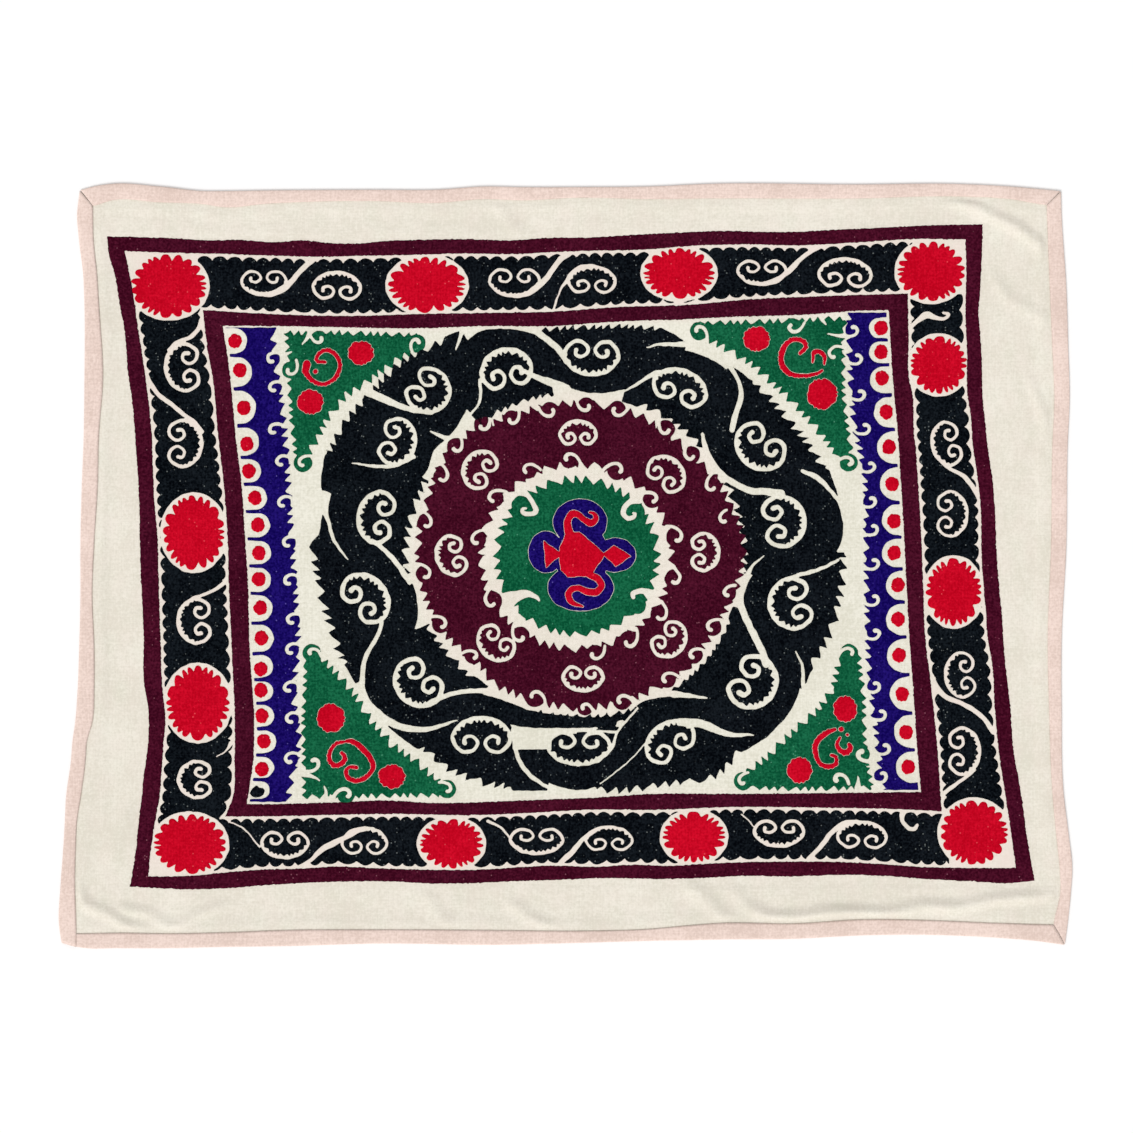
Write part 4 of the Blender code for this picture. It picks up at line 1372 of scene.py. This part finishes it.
def maroon_ring():
    """A toothed oval less its hole, its hooks and its scrolls, with a ball in each hook."""
    patch = Patch(*INNER_RING_BOX, GRID_PITCH, seed=21)
    patch.put(toothed_oval(patch, MEDALLION_MIDDLE, INNER_RING_TIPS, MAROON_TOOTH, MAROON_PITCH, 2.0,
                           MAROON_LEAN, reach=MAROON_REACH))
    patch.put(-toothed_oval(patch, INNER_RING_HOLE_MIDDLE, INNER_RING_HOLE, MAROON_TOOTH, MAROON_PITCH, 5.0,
                            -MAROON_LEAN, outwards=False), cut=True)
    edge_hooks(patch, OUTER_HOOKS, MAROON_HOOK, 0)
    edge_hooks(patch, INNER_HOOKS, MAROON_HOOK, 180)
    for scroll in MAROON_SCROLLS:
        cut_scroll(patch, scroll, notch=5.0, pitch=9.0)
    stitched_piece(patch, "ring_maroon", MAROON)


maroon_ring()

# %% [markdown]
# The green centre has a toothed edge with four balls and four bare curls in it. A blue shape made of ovals
# lies in it, and a red figure in the blue. Where two colours meet, a hair of cloth shows between them.

# %% Green centre with the blue and red middle
GREEN_BOX = (484, 466, 672, 646)
GREEN_MIDDLE = (577, 556)
GREEN_TIPS = (85, 81.5)
GREEN_TOOTH = 13.0
GREEN_TOOTH_LOSS = 4.0  # how much shorter the teeth are at the bottom
GREEN_PITCH = 19.0
GREEN_LEAN = 0.35
BLUE_GAP = 0.3  # millimetres of bare cloth round the blue, and round the red
RED_GAP = 0.2
# Balls in the green edge: middle and half axes in pixels. A bare curl runs in beside each, half widths in mm.
GREEN_BALLS = ((521, 505, 9.7, 9.3), (636, 512.3, 9, 9), (528, 609, 9.5, 9.5), (637.7, 605, 8.5, 9))
GREEN_CURLS = (
    ((521, 490, 6), (527.5, 495, 3.2), (533.3, 503.8, 3.4), (536, 510, 3.8), (533, 513.6, 3.6),
     (526.8, 514, 3.2), (522, 511.4, 2.6), (523, 508.8, 2), (526, 508.4, 1.4)),
    ((643, 493, 6), (631, 501, 4), (624.3, 508, 4), (623.5, 514.3, 3.8), (628, 518.3, 3.4), (633.6, 517, 2.8),
     (635.5, 513.6, 2), (632.8, 513.2, 1.2)),
    ((499, 606, 16), (505, 602, 14), (515, 597, 8.5), (527, 593.8, 5), (536, 597, 3), (539, 600.5, 1.6)),
    ((653, 594, 6), (646, 591.5, 4.4), (639, 591, 4), (633, 593.8, 3.4), (633.4, 597.6, 2.6)),
)
# Middle and half axes of the blue lobes, in pixels.
BLUE_LOBES = ((546, 552, 17.5, 21), (615, 555, 21, 17), (580, 522, 27, 23), (580.5, 588, 33, 23),
              (582, 556, 27, 32))
RED_BODY = (
    (566, 533), (579, 532), (590, 541), (605, 554), (598, 565), (590, 576), (568, 577), (561, 570),
    (559.5, 560), (560, 547), (564, 538),
)
RED_LEFT = ((562, 554), (543.5, 541), (546, 567.5))
RED_RIGHT = ((603, 554), (614, 545.5), (631, 556), (616, 566.5))
RED_CURLS = (
    ((570, 536, 7), (567.5, 523, 5.6), (571, 515, 5.4), (577, 514, 4.8), (584, 519.5, 4.4), (591, 523, 5),
     (596, 519, 4.2), (594, 513.5, 3), (590, 512.5, 2.2)),
    ((590, 575, 5), (598, 579, 5.4), (601.5, 586, 5), (596, 592, 5.2), (587, 591.5, 5), (578, 588, 4.6),
     (571, 590, 5), (568.5, 596, 5), (573, 603, 4.2), (583, 606.5, 1.6)),
)


def lobes_depth(patch, lobes):
    """Depth inside the ovals joined: an oval's smaller half axis times one less the distance from its
    middle, counted in half axes."""
    depth = np.full(patch.depth.shape, OUTSIDE)
    for x, y, across, up in lobes:
        dx, dy = patch.from_pixel(x, y)
        depth = np.maximum(depth, min(across, up) * (PIXEL - np.hypot(dx / across, dy / up)))
    return depth


def red_middle_depth(patch):
    """Depth inside the red figure: its body, its two sides and its two curls joined."""
    depth = np.full(patch.depth.shape, OUTSIDE)
    for outline in (RED_BODY, RED_LEFT, RED_RIGHT):
        depth = np.maximum(depth, patch.outline_depth(outline) + 0.5)
    for curl in RED_CURLS:
        depth = np.maximum(depth, patch.line_depth(smooth_path(curl, 2)))
    return depth


def medallion_centre():
    """Green less blue, blue less red, and red."""
    green = Patch(*GREEN_BOX, CLOSE_PITCH, seed=31)
    below = np.clip(-green.from_pixel(*GREEN_MIDDLE)[1] / (GREEN_TIPS[1] * PIXEL), 0, 1)
    tooth = GREEN_TOOTH - GREEN_TOOTH_LOSS * below
    green.put(toothed_oval(green, GREEN_MIDDLE, GREEN_TIPS, tooth, GREEN_PITCH, 1.0, GREEN_LEAN))
    green.cut_lines(GREEN_CURLS)
    balls = lobes_depth(green, GREEN_BALLS)
    for curl in GREEN_CURLS:
        balls = np.minimum(balls, -green.line_depth(smooth_path(curl)))
    green.put(balls)
    blue_depth = lobes_depth(green, BLUE_LOBES)
    red_depth = red_middle_depth(green)
    green.put(blue_depth + BLUE_GAP, cut=True)
    stitched_piece(green, "centre_green", GREEN)
    blue = Patch(*GREEN_BOX, CLOSE_PITCH, seed=31)
    blue.put(blue_depth)
    blue.put(red_depth + RED_GAP, cut=True)
    stitched_piece(blue, "centre_blue", BLUE)
    red = Patch(*GREEN_BOX, CLOSE_PITCH, seed=31)
    red.put(red_depth)
    stitched_piece(red, "centre_red", RED)


medallion_centre()

# %% [markdown]
# Four green sprays fill the corners round the ring. Each is a toothed three-sided leaf with two curled
# ends, and has red dots and one or two red curls in it, stitched straight onto the cloth beside the green.

# %% Corner sprays
Spray = namedtuple("Spray", "name box corner outline ends hooks notches dots curls")
SPRAYS = (
    Spray("top_left", (276, 322, 440, 484), (284, 331),
          ((284, 331), (340, 330.5), (417, 333), (424, 340), (414, 355), (400, 363), (386, 373), (368, 386),
           (350, 398), (338, 411), (329, 424), (322, 438), (315, 450), (309, 466), (295, 466), (289, 420)),
          (Hook(416.5, 343.5, -105, -225, 5.2, 2.6), Hook(303, 463, 45, 225, 4.8, 2.4)),
          (Hook(319, 338.5, 150, 220, 5, 2.4), Hook(290.5, 370, 60, -240, 5.5, 2.4)),
          (((312, 329, 4.5), (308, 337, 2.6), (302, 345, 0.8)), ((280, 356, 4), (292, 352, 1))),
          ((361, 353, 13.5, 12.5), (310.5, 402, 13.5, 13), (315.5, 371.5, 2.6, 2.6)),
          (((307, 364, 6), (306, 372, 4.6), (313, 381, 3.4), (325, 384, 3.2), (336, 377, 3.2),
            (340, 364, 3.2), (334, 353, 3.2), (325, 350.5, 3.2), (318, 355, 3), (317, 361, 2.6),
            (325, 362, 2.6)),)),
    Spray("top_right", (682, 312, 860, 478), (849, 316),
          ((694, 321), (760, 319.5), (848, 316), (845, 345), (846, 400), (853, 450), (850, 466), (836, 459),
           (808, 425), (786, 401), (768, 385), (752, 369), (720, 350), (697, 338)),
          (Hook(699, 331, -45, 225, 5.4, 2.6), Hook(848.5, 462.5, 165, -225, 4.8, 2.6)),
          (Hook(793, 327, 20, -240, 5.6, 2.6), Hook(833.5, 354, 30, 250, 5.8, 2.4)),
          (((820, 314, 4.5), (822, 319, 3), (826, 325, 0.8)),
           ((852, 336, 5), (840, 336, 2.4), (828, 334, 1))),
          ((756.5, 339, 14, 13), (822, 394, 16, 16)),
          (((800, 353, 3.2), (806, 347, 3.2), (802, 340.5, 3.4), (792, 340, 3.6), (784, 347, 4),
            (781, 360, 4.4), (786, 371, 4.2), (797, 375.5, 3.4), (812, 375, 3), (822, 371, 2.4)),
           ((813, 362, 2), (813.5, 353, 3.4), (819, 351.5, 3.6), (824, 356, 3), (824.5, 364, 2.2)))),
    Spray("bottom_left", (292, 634, 464, 808), (301, 799),
          ((304, 650), (301, 720), (302, 799), (380, 798), (448, 797), (450, 790), (440, 778), (417, 757),
           (394.6, 741.5), (373.7, 718), (358, 692), (340, 671), (326, 657), (316, 648)),
          (Hook(312, 653, -20, 225, 4.8, 2.4), Hook(447, 789, 140, -225, 4.8, 2.4)),
          (Hook(314, 763, 225, 250, 5.6, 2.8), Hook(346, 794.5, 190, -230, 6, 2.8)),
          (((326, 803, 5.5), (326, 795, 3), (324.5, 786, 0.8)),
           ((297, 773, 5), (312, 776, 2.5), (320, 781, 0.8))),
          ((331, 718, 14.5, 15), (392, 776.5, 14, 12.5)),
          (((347, 741, 2.8), (353, 741.5, 4), (363, 749, 4.4), (371, 759, 4.2), (373, 768, 3.8),
            (367, 776.5, 3.6), (358, 780.5, 3.8), (349, 778.5, 3.6), (346, 772, 3.2), (350, 767, 2.8),
            (356.5, 767.5, 3)),
           ((344, 741.5, 2.2), (336, 744, 2.8), (330, 752, 3), (330, 761, 3.6), (336, 765.5, 4),
            (343, 762, 3.8), (345, 756.5, 3.4), (342, 753, 3)))),
    Spray("bottom_right", (728, 634, 884, 800), (873, 790),
          ((861, 652), (866, 700), (867, 740), (874, 790), (800, 791), (748, 790), (738, 785), (744, 770),
           (767.9, 751), (784.7, 734), (815.6, 706), (829.6, 686.5), (834, 664), (842, 648)),
          (Hook(849, 653, 200, -225, 5.6, 2.4), Hook(743, 781, 60, 225, 4.8, 2.4)),
          (Hook(862, 754, -40, -225, 5, 3.2), Hook(838.5, 779, -25, 240, 5.4, 3)),
          (((858, 792, 6), (858, 784, 3), (858, 776, 0.8)),
           ((880, 765, 5), (872, 766, 2.4), (866, 767, 0.8))),
          ((845, 709, 12.5, 13.5), (799.5, 770, 13, 13.5), (841, 729, 3, 2.6), (847, 734.5, 2, 1.8)),
          (((835, 729.5, 2.6), (826, 733, 4), (818, 740, 4.6), (815, 748, 4.2), (817, 758, 3.6),
            (821, 764, 3.4), (829, 766.5, 3.6), (836, 763.5, 3.2), (836, 757, 2.6), (831, 755, 2.4)),
           ((840, 738, 2.4), (837, 744, 3), (840, 750.5, 3.8), (846, 752.5, 4.4), (850.5, 748, 4),
            (849, 744.5, 3)))),
)
SPRAY_TOOTH = 8.0
DIAGONAL_TOOTH = 4.5  # the teeth that face the ring are this much longer
DIAGONAL_START = 15.0  # how far from the spray's straight sides the teeth begin to lengthen
DIAGONAL_BLEND = 25.0
SPRAY_PITCH = 15.0
SPRAY_BALL = 9.3
SPRAY_HOOK_ROOM = 3.0
SPRAY_DOT_PETALS = 13
SPRAY_DOT_NOTCH = 0.15  # a petal notch's depth in mm for each pixel of the dot's half width


def corner_spray(spray, seed):
    """The leaf with its curls and notches in green, then its dots and scroll in red."""
    green = Patch(*spray.box, GRID_PITCH, seed)
    depth, along = polygon_depth(green.hand_x, green.hand_y, mm(spray.outline))
    from_corner = np.abs(green.from_pixel(*spray.corner)).min(0)
    tooth = SPRAY_TOOTH + DIAGONAL_TOOTH * smooth_step((from_corner - DIAGONAL_START) / DIAGONAL_BLEND)
    green.put(depth + 1.0 - tooth * teeth(along + 0.2 * depth, SPRAY_PITCH, seed, TOOTH_POWER))
    for hook in spray.ends:
        balled_hook(green, hook, SPRAY_BALL)
    for hook in spray.hooks:
        balled_hook(green, hook, hook.radius + SPRAY_HOOK_ROOM)
    green.cut_lines(spray.notches)
    red = Patch(*spray.box, GRID_PITCH, seed)
    for number, (x, y, across, up) in enumerate(spray.dots):
        notch = SPRAY_DOT_NOTCH * across
        red.put(rosette_depth(red, x, y, across, up, SPRAY_DOT_PETALS, notch, seed + number))
    for curl in spray.curls:
        red.stroke(smooth_path(curl, 2), notch=1.6, pitch=5.5, notch_side=-1)
    green.put(red.depth + RED_GAP, cut=True)
    stitched_piece(green, "spray_green_" + spray.name, GREEN)
    stitched_piece(red, "spray_red_" + spray.name, RED)


for spray_number, spray in enumerate(SPRAYS):
    corner_spray(spray, 41 + 2 * spray_number)

# %% [markdown]
# A violet blue strip runs down each short side of the centre field. One edge is toothed and hooked. The
# other is scooped out round a row of red dots, so that thin fingers of blue reach the maroon band.

# %% Side strips
LEFT_DOTS = (
    (235, 341), (240, 370), (244, 408), (247, 444), (249, 471), (255, 498), (258, 525), (259, 553),
    (259, 579), (260.5, 608), (261.6, 638), (261, 669), (261, 690), (262, 716), (264, 741), (262, 769),
)
RIGHT_DOTS = (
    (881, 328), (881, 352), (882, 378), (886, 412), (889, 447), (892, 484), (894, 521), (894, 553),
    (898, 585), (898, 619), (899, 655), (902, 694), (906, 732), (908, 767),
)
# The lowest dot on the left is black and uneven: the middle of its arch, and its outline.
BLACK_DOT = (257.6, 790)
BLACK_DOT_BOX = (244, 780, 272, 804)
BLACK_DOT_OUTLINE = (
    (256.3, 785.4), (259, 787.8), (263.3, 788.2), (265, 790.6), (263.8, 794), (260.4, 796.6),
    (255.6, 797.6), (251.8, 795.6), (250.1, 793), (252.8, 788.7),
)
LEFT_TIPS = (
    (330, 277), (350, 278), (415, 287), (500, 293), (560, 297), (600, 300), (640, 302), (700, 298),
    (740, 303), (790, 293),
)
RIGHT_TIPS = (
    (330, 845), (400, 848), (430, 851), (450, 856), (470, 860), (530, 862), (600, 863), (680, 866),
    (750, 874.5), (790, 879),
)
LEFT_HOOKS = (
    (273, 359), (275, 388), (275, 430), (282, 462), (284, 503), (289, 543), (290, 581), (293, 620),
    (292, 650), (290, 688), (292, 719), (291, 759),
)
RIGHT_HOOKS = (
    (852, 330), (856, 358), (859, 394), (864, 428), (869, 466), (870, 501), (872, 529), (873, 563),
    (873, 599), (874, 633), (874, 686), (880, 714), (884, 748), (881, 776),
)
SIDE_TOOTH = 10.5
SIDE_PITCH = 16.5
SIDE_GAP = 3.2  # bare cloth between the blue and the maroon band
SIDE_HOOK = (265, 5.4, 2.4)  # a hook's sweep in degrees, its radius and its half width
SIDE_HOOK_START = {1: 15, -1: 195}  # where it starts, by the way the strip's teeth point
SIDE_BALL = 8.2
DOT_SIZE = (7.3, 7.9)
DOT_PETALS = 9
DOT_PETAL_DEPTH = 1.2
SCOOP_REACH = 12.0  # pixels of bare cloth from a dot's middle into the blue
FINGER = 3.1  # half the blue left between two scoops, in mm
LARGEST_SCOOP = 25.0


# Where a strip's teeth point right, reach is 1, and where they point left it is -1. scoops are the middles
# of the bare arches: the red dots, and on the left the black one too.
Strip = namedtuple("Strip", "name box tips band dots scoops hooks reach start stop")
SIDE_STRIPS = named_rows(Strip, (
    ("left", (216, 322, 312, 808), LEFT_TIPS, INNER_LEFT_IN, LEFT_DOTS, (*LEFT_DOTS, BLACK_DOT), LEFT_HOOKS,
     1, 327.5, 802),
    ("right", (836, 308, 930, 798), RIGHT_TIPS, INNER_RIGHT_IN, RIGHT_DOTS, RIGHT_DOTS, RIGHT_HOOKS,
     -1, 312.5, 790),
))


def side_strip(strip, seed):
    """Blue between a toothed edge and the maroon band, less a scoop round each dot, and the dots in red."""
    reach = strip.reach
    blue = Patch(*strip.box, GRID_PITCH, seed)
    pixel_y = PHOTO_MIDDLE - blue.hand_y / PIXEL
    toothed = (edge_line(strip.tips, pixel_y) - PHOTO_MIDDLE) * PIXEL
    straight = (edge_line(strip.band, pixel_y) - PHOTO_MIDDLE) * PIXEL
    inside = (toothed - blue.hand_x) * reach
    inside = inside - SIDE_TOOTH * teeth(blue.hand_y + 0.5 * inside, SIDE_PITCH, seed)
    blue.put(np.minimum.reduce([inside, (blue.hand_x - straight) * reach - SIDE_GAP,
                                (pixel_y - strip.start) * PIXEL, (strip.stop - pixel_y) * PIXEL]))
    rows = np.array(strip.scoops, float)
    between = (rows[1:, 1] + rows[:-1, 1]) / 2
    fingers = np.concatenate([[2 * rows[0, 1] - between[0]], between, [2 * rows[-1, 1] - between[-1]]])
    for (x, y), above, below in zip(strip.scoops, fingers[:-1], fingers[1:]):
        level = (above + below) / 2
        half = (below - above) / 2 * PIXEL - FINGER
        scoop = min(half, LARGEST_SCOOP)
        near = x + (SCOOP_REACH - scoop / PIXEL) * reach
        blue.stroke(smooth_path(((near, level, scoop), (near - 10 * reach, level, half + 0.4),
                                 (near - 40 * reach, level, half + 0.8))), cut=True)
    for x, y in strip.hooks:
        balled_hook(blue, Hook(x - reach, y, SIDE_HOOK_START[reach], *SIDE_HOOK), SIDE_BALL)
    red = Patch(*strip.box, GRID_PITCH, seed)
    for number, (x, y) in enumerate(strip.dots):
        red.put(rosette_depth(red, x, y, *DOT_SIZE, DOT_PETALS, DOT_PETAL_DEPTH, seed + number))
    stitched_piece(blue, "side_blue_" + strip.name, BLUE)
    stitched_piece(red, "side_dots_" + strip.name, RED)


for strip_number, strip in enumerate(SIDE_STRIPS):
    side_strip(strip, 61 + 2 * strip_number)
black_dot = Patch(*BLACK_DOT_BOX, GRID_PITCH, seed=65)
black_dot.put(black_dot.outline_depth(BLACK_DOT_OUTLINE) + 0.5)
stitched_piece(black_dot, "side_dot_black", BLACK)

# %% [markdown]
# The border is a black vine between the two bands. Red rosettes stand in it, each in its own oval of bare
# cloth. Between most of them lie one or two scrolls, with thick and thin S-shaped lines beside them.

# %% Rosettes
Rosette = namedtuple("Rosette", "x y across up")
ROSETTES = named_rows(Rosette, (
    (169, 286, 38, 32), (427, 285, 39, 28), (679, 273.6, 36, 25.5), (931, 271.5, 34, 30),
    (938.5, 365, 28.5, 29), (953.6, 592, 28, 34), (974, 832.5, 34, 32.5), (194, 532.7, 31, 37.5),
    (198, 703, 32, 37.5), (190, 844, 36.6, 30), (451.5, 843.6, 32, 25), (694, 837, 31.6, 25.5),
))
PETALS = 22
PETAL_DEPTH = 8.5
PATCH_ROOM = 3
PETAL_POWER = 2.3  # above 1, so that the petals are round and the notches between them narrow
ROSETTE_ROOM = 4.0  # bare cloth round a rosette


def rosette(number, flower):
    """One red flower in a small drawing of its own."""
    x, y = flower.x, flower.y
    across, up = flower.across + PATCH_ROOM, flower.up + PATCH_ROOM
    patch = Patch(x - across, y - up, x + across, y + up, CLOSE_PITCH, 80 + number)
    patch.put(rosette_depth(patch, *flower, PETALS, PETAL_DEPTH, number, PETAL_POWER))
    stitched_piece(patch, "rosette_%02d" % number, RED)


for flower_number, flower in enumerate(ROSETTES):
    rosette(flower_number, flower)

# %% Border vine
VINE_MARGIN = 3.2
VINE_NOTCH = 7.0
VINE_PITCH = 20.0
VINE_POWER = 0.6
LOW_SWAY = 37.0  # the lengths over which the lobes of the two edges get wider and narrower
HIGH_SWAY = 31.0
HIGH_TURNS = 0.9  # lobes on the second edge for each one on the first
# For each side of the border: the scrolls, and the bare lines with half widths in mm.
TOP_SCROLLS = named_rows(Scroll, (
    (264, 283, 90, 48, 27, 2.4), (337, 286, -92, 51, 30, 2.8), (514.5, 282.5, 90, 53, 30, 2.5),
    (592, 280, -90, 50, 29, 2.6), (762, 272.5, 90, 52, 27, 2.6), (845, 273, -92, 56, 31, 2.9),
))
TOP_LINES = (
    ((251, 290, 1.6), (260, 294, 2.6), (271, 294, 4), (283, 289, 5), (292, 281, 4), (301, 270.5, 3.4),
     (312, 261, 3.6), (320, 256, 3)),
    ((500, 292.5, 1.6), (511, 296, 2.6), (527, 294, 3.6), (537, 287, 4.4), (546, 279, 4), (553, 269, 3.6),
     (561, 259, 4), (571, 253, 3)),
    ((745, 281, 1.6), (758, 284, 2.6), (770, 282, 2.8), (780, 277.5, 3), (790, 270, 4), (799, 260.5, 3.4),
     (810, 252, 3.2), (822, 246, 2.6)),
    ((553, 311, 1.4), (560, 291, 1.2), (566, 282, 2.4), (571, 273.5, 2.4), (579, 267.5, 2.2),
     (589, 265.5, 2), (599, 267, 1.4)),
)
BOTTOM_SCROLLS = named_rows(Scroll, (
    (285, 844.5, 90, 50, 29, 2.8), (364.5, 841, -90, 48, 29, 2.5), (536.5, 841, 90, 56, 28, 2.6),
    (609, 838.5, -90, 49, 26, 2.3), (779, 833, 90, 53, 29, 2.8), (862, 835, -92, 52, 29, 2.6),
))
BOTTOM_LINES = (
    ((230, 822, 1), (237, 824.7, 1), (246, 830.5, 1), (254, 840, 1), (260, 847, 1.2)),
    ((373, 828, 1.8), (360, 831, 2.2), (346, 837, 3.4), (334, 843, 4), (322, 849.5, 4), (311, 860, 2.8),
     (300, 867, 3.4)),
    ((488, 821, 2.2), (500, 827, 1.6), (507, 834.5, 1.4), (514.7, 845, 1.2), (521, 848.5, 1.2)),
    ((612, 827, 1.6), (600, 828, 2.4), (590, 833.5, 3.2), (581, 841, 3.2), (572, 852, 4), (561, 862, 3.6)),
    ((741, 814.4, 0.9), (749, 820.4, 0.9), (753, 826, 1)),
    ((857, 821, 2), (845, 823, 3.4), (832, 832, 3.4), (821, 846, 3.6), (808, 859, 2.6)),
    ((903, 811, 4.5), (902, 820, 2.6), (907, 827, 2.8), (914, 829, 3), (917, 825, 2)),
)
LEFT_SCROLLS = named_rows(Scroll, (
    (182.5, 367.5, 4, 51, 37, 3.2), (185, 443.5, 180, 50, 37, 2.9), (194.5, 621, 2, 48, 36, 3.1),
    (195, 779.5, 2, 40, 36, 3.0),
))
LEFT_LINES = (
    ((202, 320, 3.4), (198, 330, 3), (189, 338, 2.8), (178, 342, 2.8), (169, 350, 2.8)),
    ((146, 375, 4), (152, 386, 3.4), (160, 396, 3), (170, 403, 3), (183, 414, 3), (194, 422, 3.2),
     (202, 432, 3)),
    ((228, 577, 3.6), (224, 583, 3), (215, 589.5, 2.4), (203, 595, 2.2), (192, 599, 2.4), (183, 606, 2.6)),
    ((231, 743, 3), (226, 751, 1), (216, 757, 0.8)),
)
RIGHT_SCROLLS = named_rows(Scroll, (
    (946, 444, 12, 47, 31, 2.8), (952, 514, 180, 48, 33, 2.6), (960, 675, 4, 48, 32, 2.6),
    (964, 751, 180, 50, 34, 2.9),
))
RIGHT_LINES = (
    ((908, 330, 2.6), (918, 320.5, 3.4), (927, 315, 5), (936, 318, 2.8), (944, 319, 2.4), (948.5, 314.5, 2.4),
     (943, 312.5, 1.4)),
    ((938, 459, 2.4), (950, 469, 2.6), (962, 475, 3), (972, 486, 3.4), (980, 500, 3.6)),
    ((931, 676, 4), (937, 688, 4), (946, 697, 3.6), (958, 702, 3), (972, 709, 3.2), (984, 719, 3.4),
     (993, 732, 3.6)),
    ((974, 770, 2.4), (966, 777, 2.4), (956, 784, 2.4), (944, 793, 3)),
)


def vine_notches(turns, sway):
    """1 in each notch between the vine's lobes and 0 at their tops: 1 - |sin(pi turns)|^power, where the
    turns are pushed about a little."""
    return 1 - np.abs(np.sin(np.pi * (turns + 0.25 * np.sin(sway)))) ** VINE_POWER


def vine_side(side, seed):
    """Black between two band edges, less the rosettes' ovals, the scrolls and the lines."""
    patch = Patch(*side.box, GRID_PITCH, seed)
    pixel_x = PHOTO_MIDDLE + patch.hand_x / PIXEL
    pixel_y = PHOTO_MIDDLE - patch.hand_y / PIXEL
    along, level = (pixel_x, pixel_y) if side.lies_along_x else (pixel_y, pixel_x)
    length = along * PIXEL
    low_notch = vine_notches(length / VINE_PITCH, length / LOW_SWAY + seed)
    high_notch = vine_notches(length / VINE_PITCH * HIGH_TURNS, length / HIGH_SWAY + 2 * seed)
    low = (level - edge_line(side.low_edge, along)) * PIXEL - VINE_MARGIN - VINE_NOTCH * low_notch
    high = (edge_line(side.high_edge, along) - level) * PIXEL - VINE_MARGIN - VINE_NOTCH * high_notch
    patch.put(np.minimum.reduce([low, high, (along - side.start) * PIXEL, (side.stop - along) * PIXEL]))
    for flower in ROSETTES:
        dx, dy = patch.from_pixel(flower.x, flower.y)
        size = np.array((flower.across, flower.up)) * PIXEL + ROSETTE_ROOM
        patch.put((1 - np.hypot(dx / size[0], dy / size[1])) * size.min(), cut=True)
    patch.cut_lines(side.lines)
    for scroll in side.scrolls:
        cut_scroll(patch, scroll, notch=4.0, pitch=8.5)
    stitched_piece(patch, "vine_" + side.name, BLACK)


VineSide = namedtuple("VineSide", "name box start stop low_edge high_edge lies_along_x scrolls lines")
VINE_SIDES = named_rows(VineSide, (
    ("top", (198, 234, 914, 324), 186, 912, OUTER_TOP_IN, INNER_TOP, True, TOP_SCROLLS, TOP_LINES),
    ("bottom", (200, 800, 950, 884), 214, 950, INNER_BOTTOM, OUTER_BOTTOM_IN, True, BOTTOM_SCROLLS,
     BOTTOM_LINES),
    ("left", (122, 300, 242, 826), 306, 826, OUTER_LEFT_IN, INNER_LEFT, False, LEFT_SCROLLS, LEFT_LINES),
    ("right", (900, 292, 1014, 812), 294, 812, INNER_RIGHT, OUTER_RIGHT_IN, False, RIGHT_SCROLLS,
     RIGHT_LINES),
))
for side_number, side in enumerate(VINE_SIDES):
    vine_side(side, 101 + 2 * side_number)

# %% [markdown]
# A cloth on white paper, photographed from straight above, needs little: a floor, a bright sky that fills
# the shadows, and one wide soft lamp from the side that shows the folds and the raised stitching.

# %% Light, floor and camera
FLOOR_SIZE = 12.0
PAPER_WHITE = 0.93
LENS = 70.0
SENSOR = 36.0
FRAME_WIDTH = PHOTO_SIZE * PIXEL * MM
SKY = 0.70
SUN = 1.8
SUN_WIDTH = 25.0
SUN_TILT = (38, -30)  # degrees about X and Y, so that the light comes from the lower left


def plain_floor():
    """A white square on the table's level."""
    half = FLOOR_SIZE / 2
    corners = [(-half, -half, 0), (half, -half, 0), (half, half, 0), (-half, half, 0)]
    mesh = bpy.data.meshes.new("floor")
    mesh.from_pydata(corners, [], [(0, 1, 2, 3)])
    floor = add_object("floor", mesh)
    white = bpy.data.materials.new("white paper")
    white.use_nodes = True
    sockets = white.node_tree.nodes["Principled BSDF"].inputs
    sockets["Base Color"].default_value = (PAPER_WHITE, PAPER_WHITE, PAPER_WHITE, 1)
    sockets["Roughness"].default_value = 1.0
    sockets["Specular IOR Level"].default_value = 0.0
    mesh.materials.append(white)


def studio_light():
    """A white sky, and a sun as wide as a window."""
    world = bpy.data.worlds.new("studio")
    bpy.context.scene.world = world
    world.use_nodes = True
    sky = world.node_tree.nodes["Background"].inputs
    sky["Color"].default_value = (1, 1, 1, 1)
    sky["Strength"].default_value = SKY
    light = bpy.data.lights.new("window", "SUN")
    light.energy = SUN
    light.angle = math.radians(SUN_WIDTH)
    lamp = add_object("window", light)
    lamp.rotation_euler = (*np.radians(SUN_TILT), 0)
    bpy.context.scene.view_settings.view_transform = "Standard"


def camera_above():
    """Straight above the middle of the photo, as far away as makes the frame's width fit the lens."""
    camera = bpy.data.cameras.new("camera")
    camera.lens = LENS
    camera.sensor_width = SENSOR
    eye = add_object("camera", camera)
    distance = FRAME_WIDTH * LENS / SENSOR
    shift = (PHOTO_SIZE / 2 - PHOTO_MIDDLE) * PIXEL  # to the right and down
    eye.location = ((shift - MIDDLE_X) * MM, (-shift - MIDDLE_Y) * MM, distance)
    bpy.context.scene.camera = eye
    print("camera", round(distance, 3), "m above the cloth")


plain_floor()
studio_light()
camera_above()
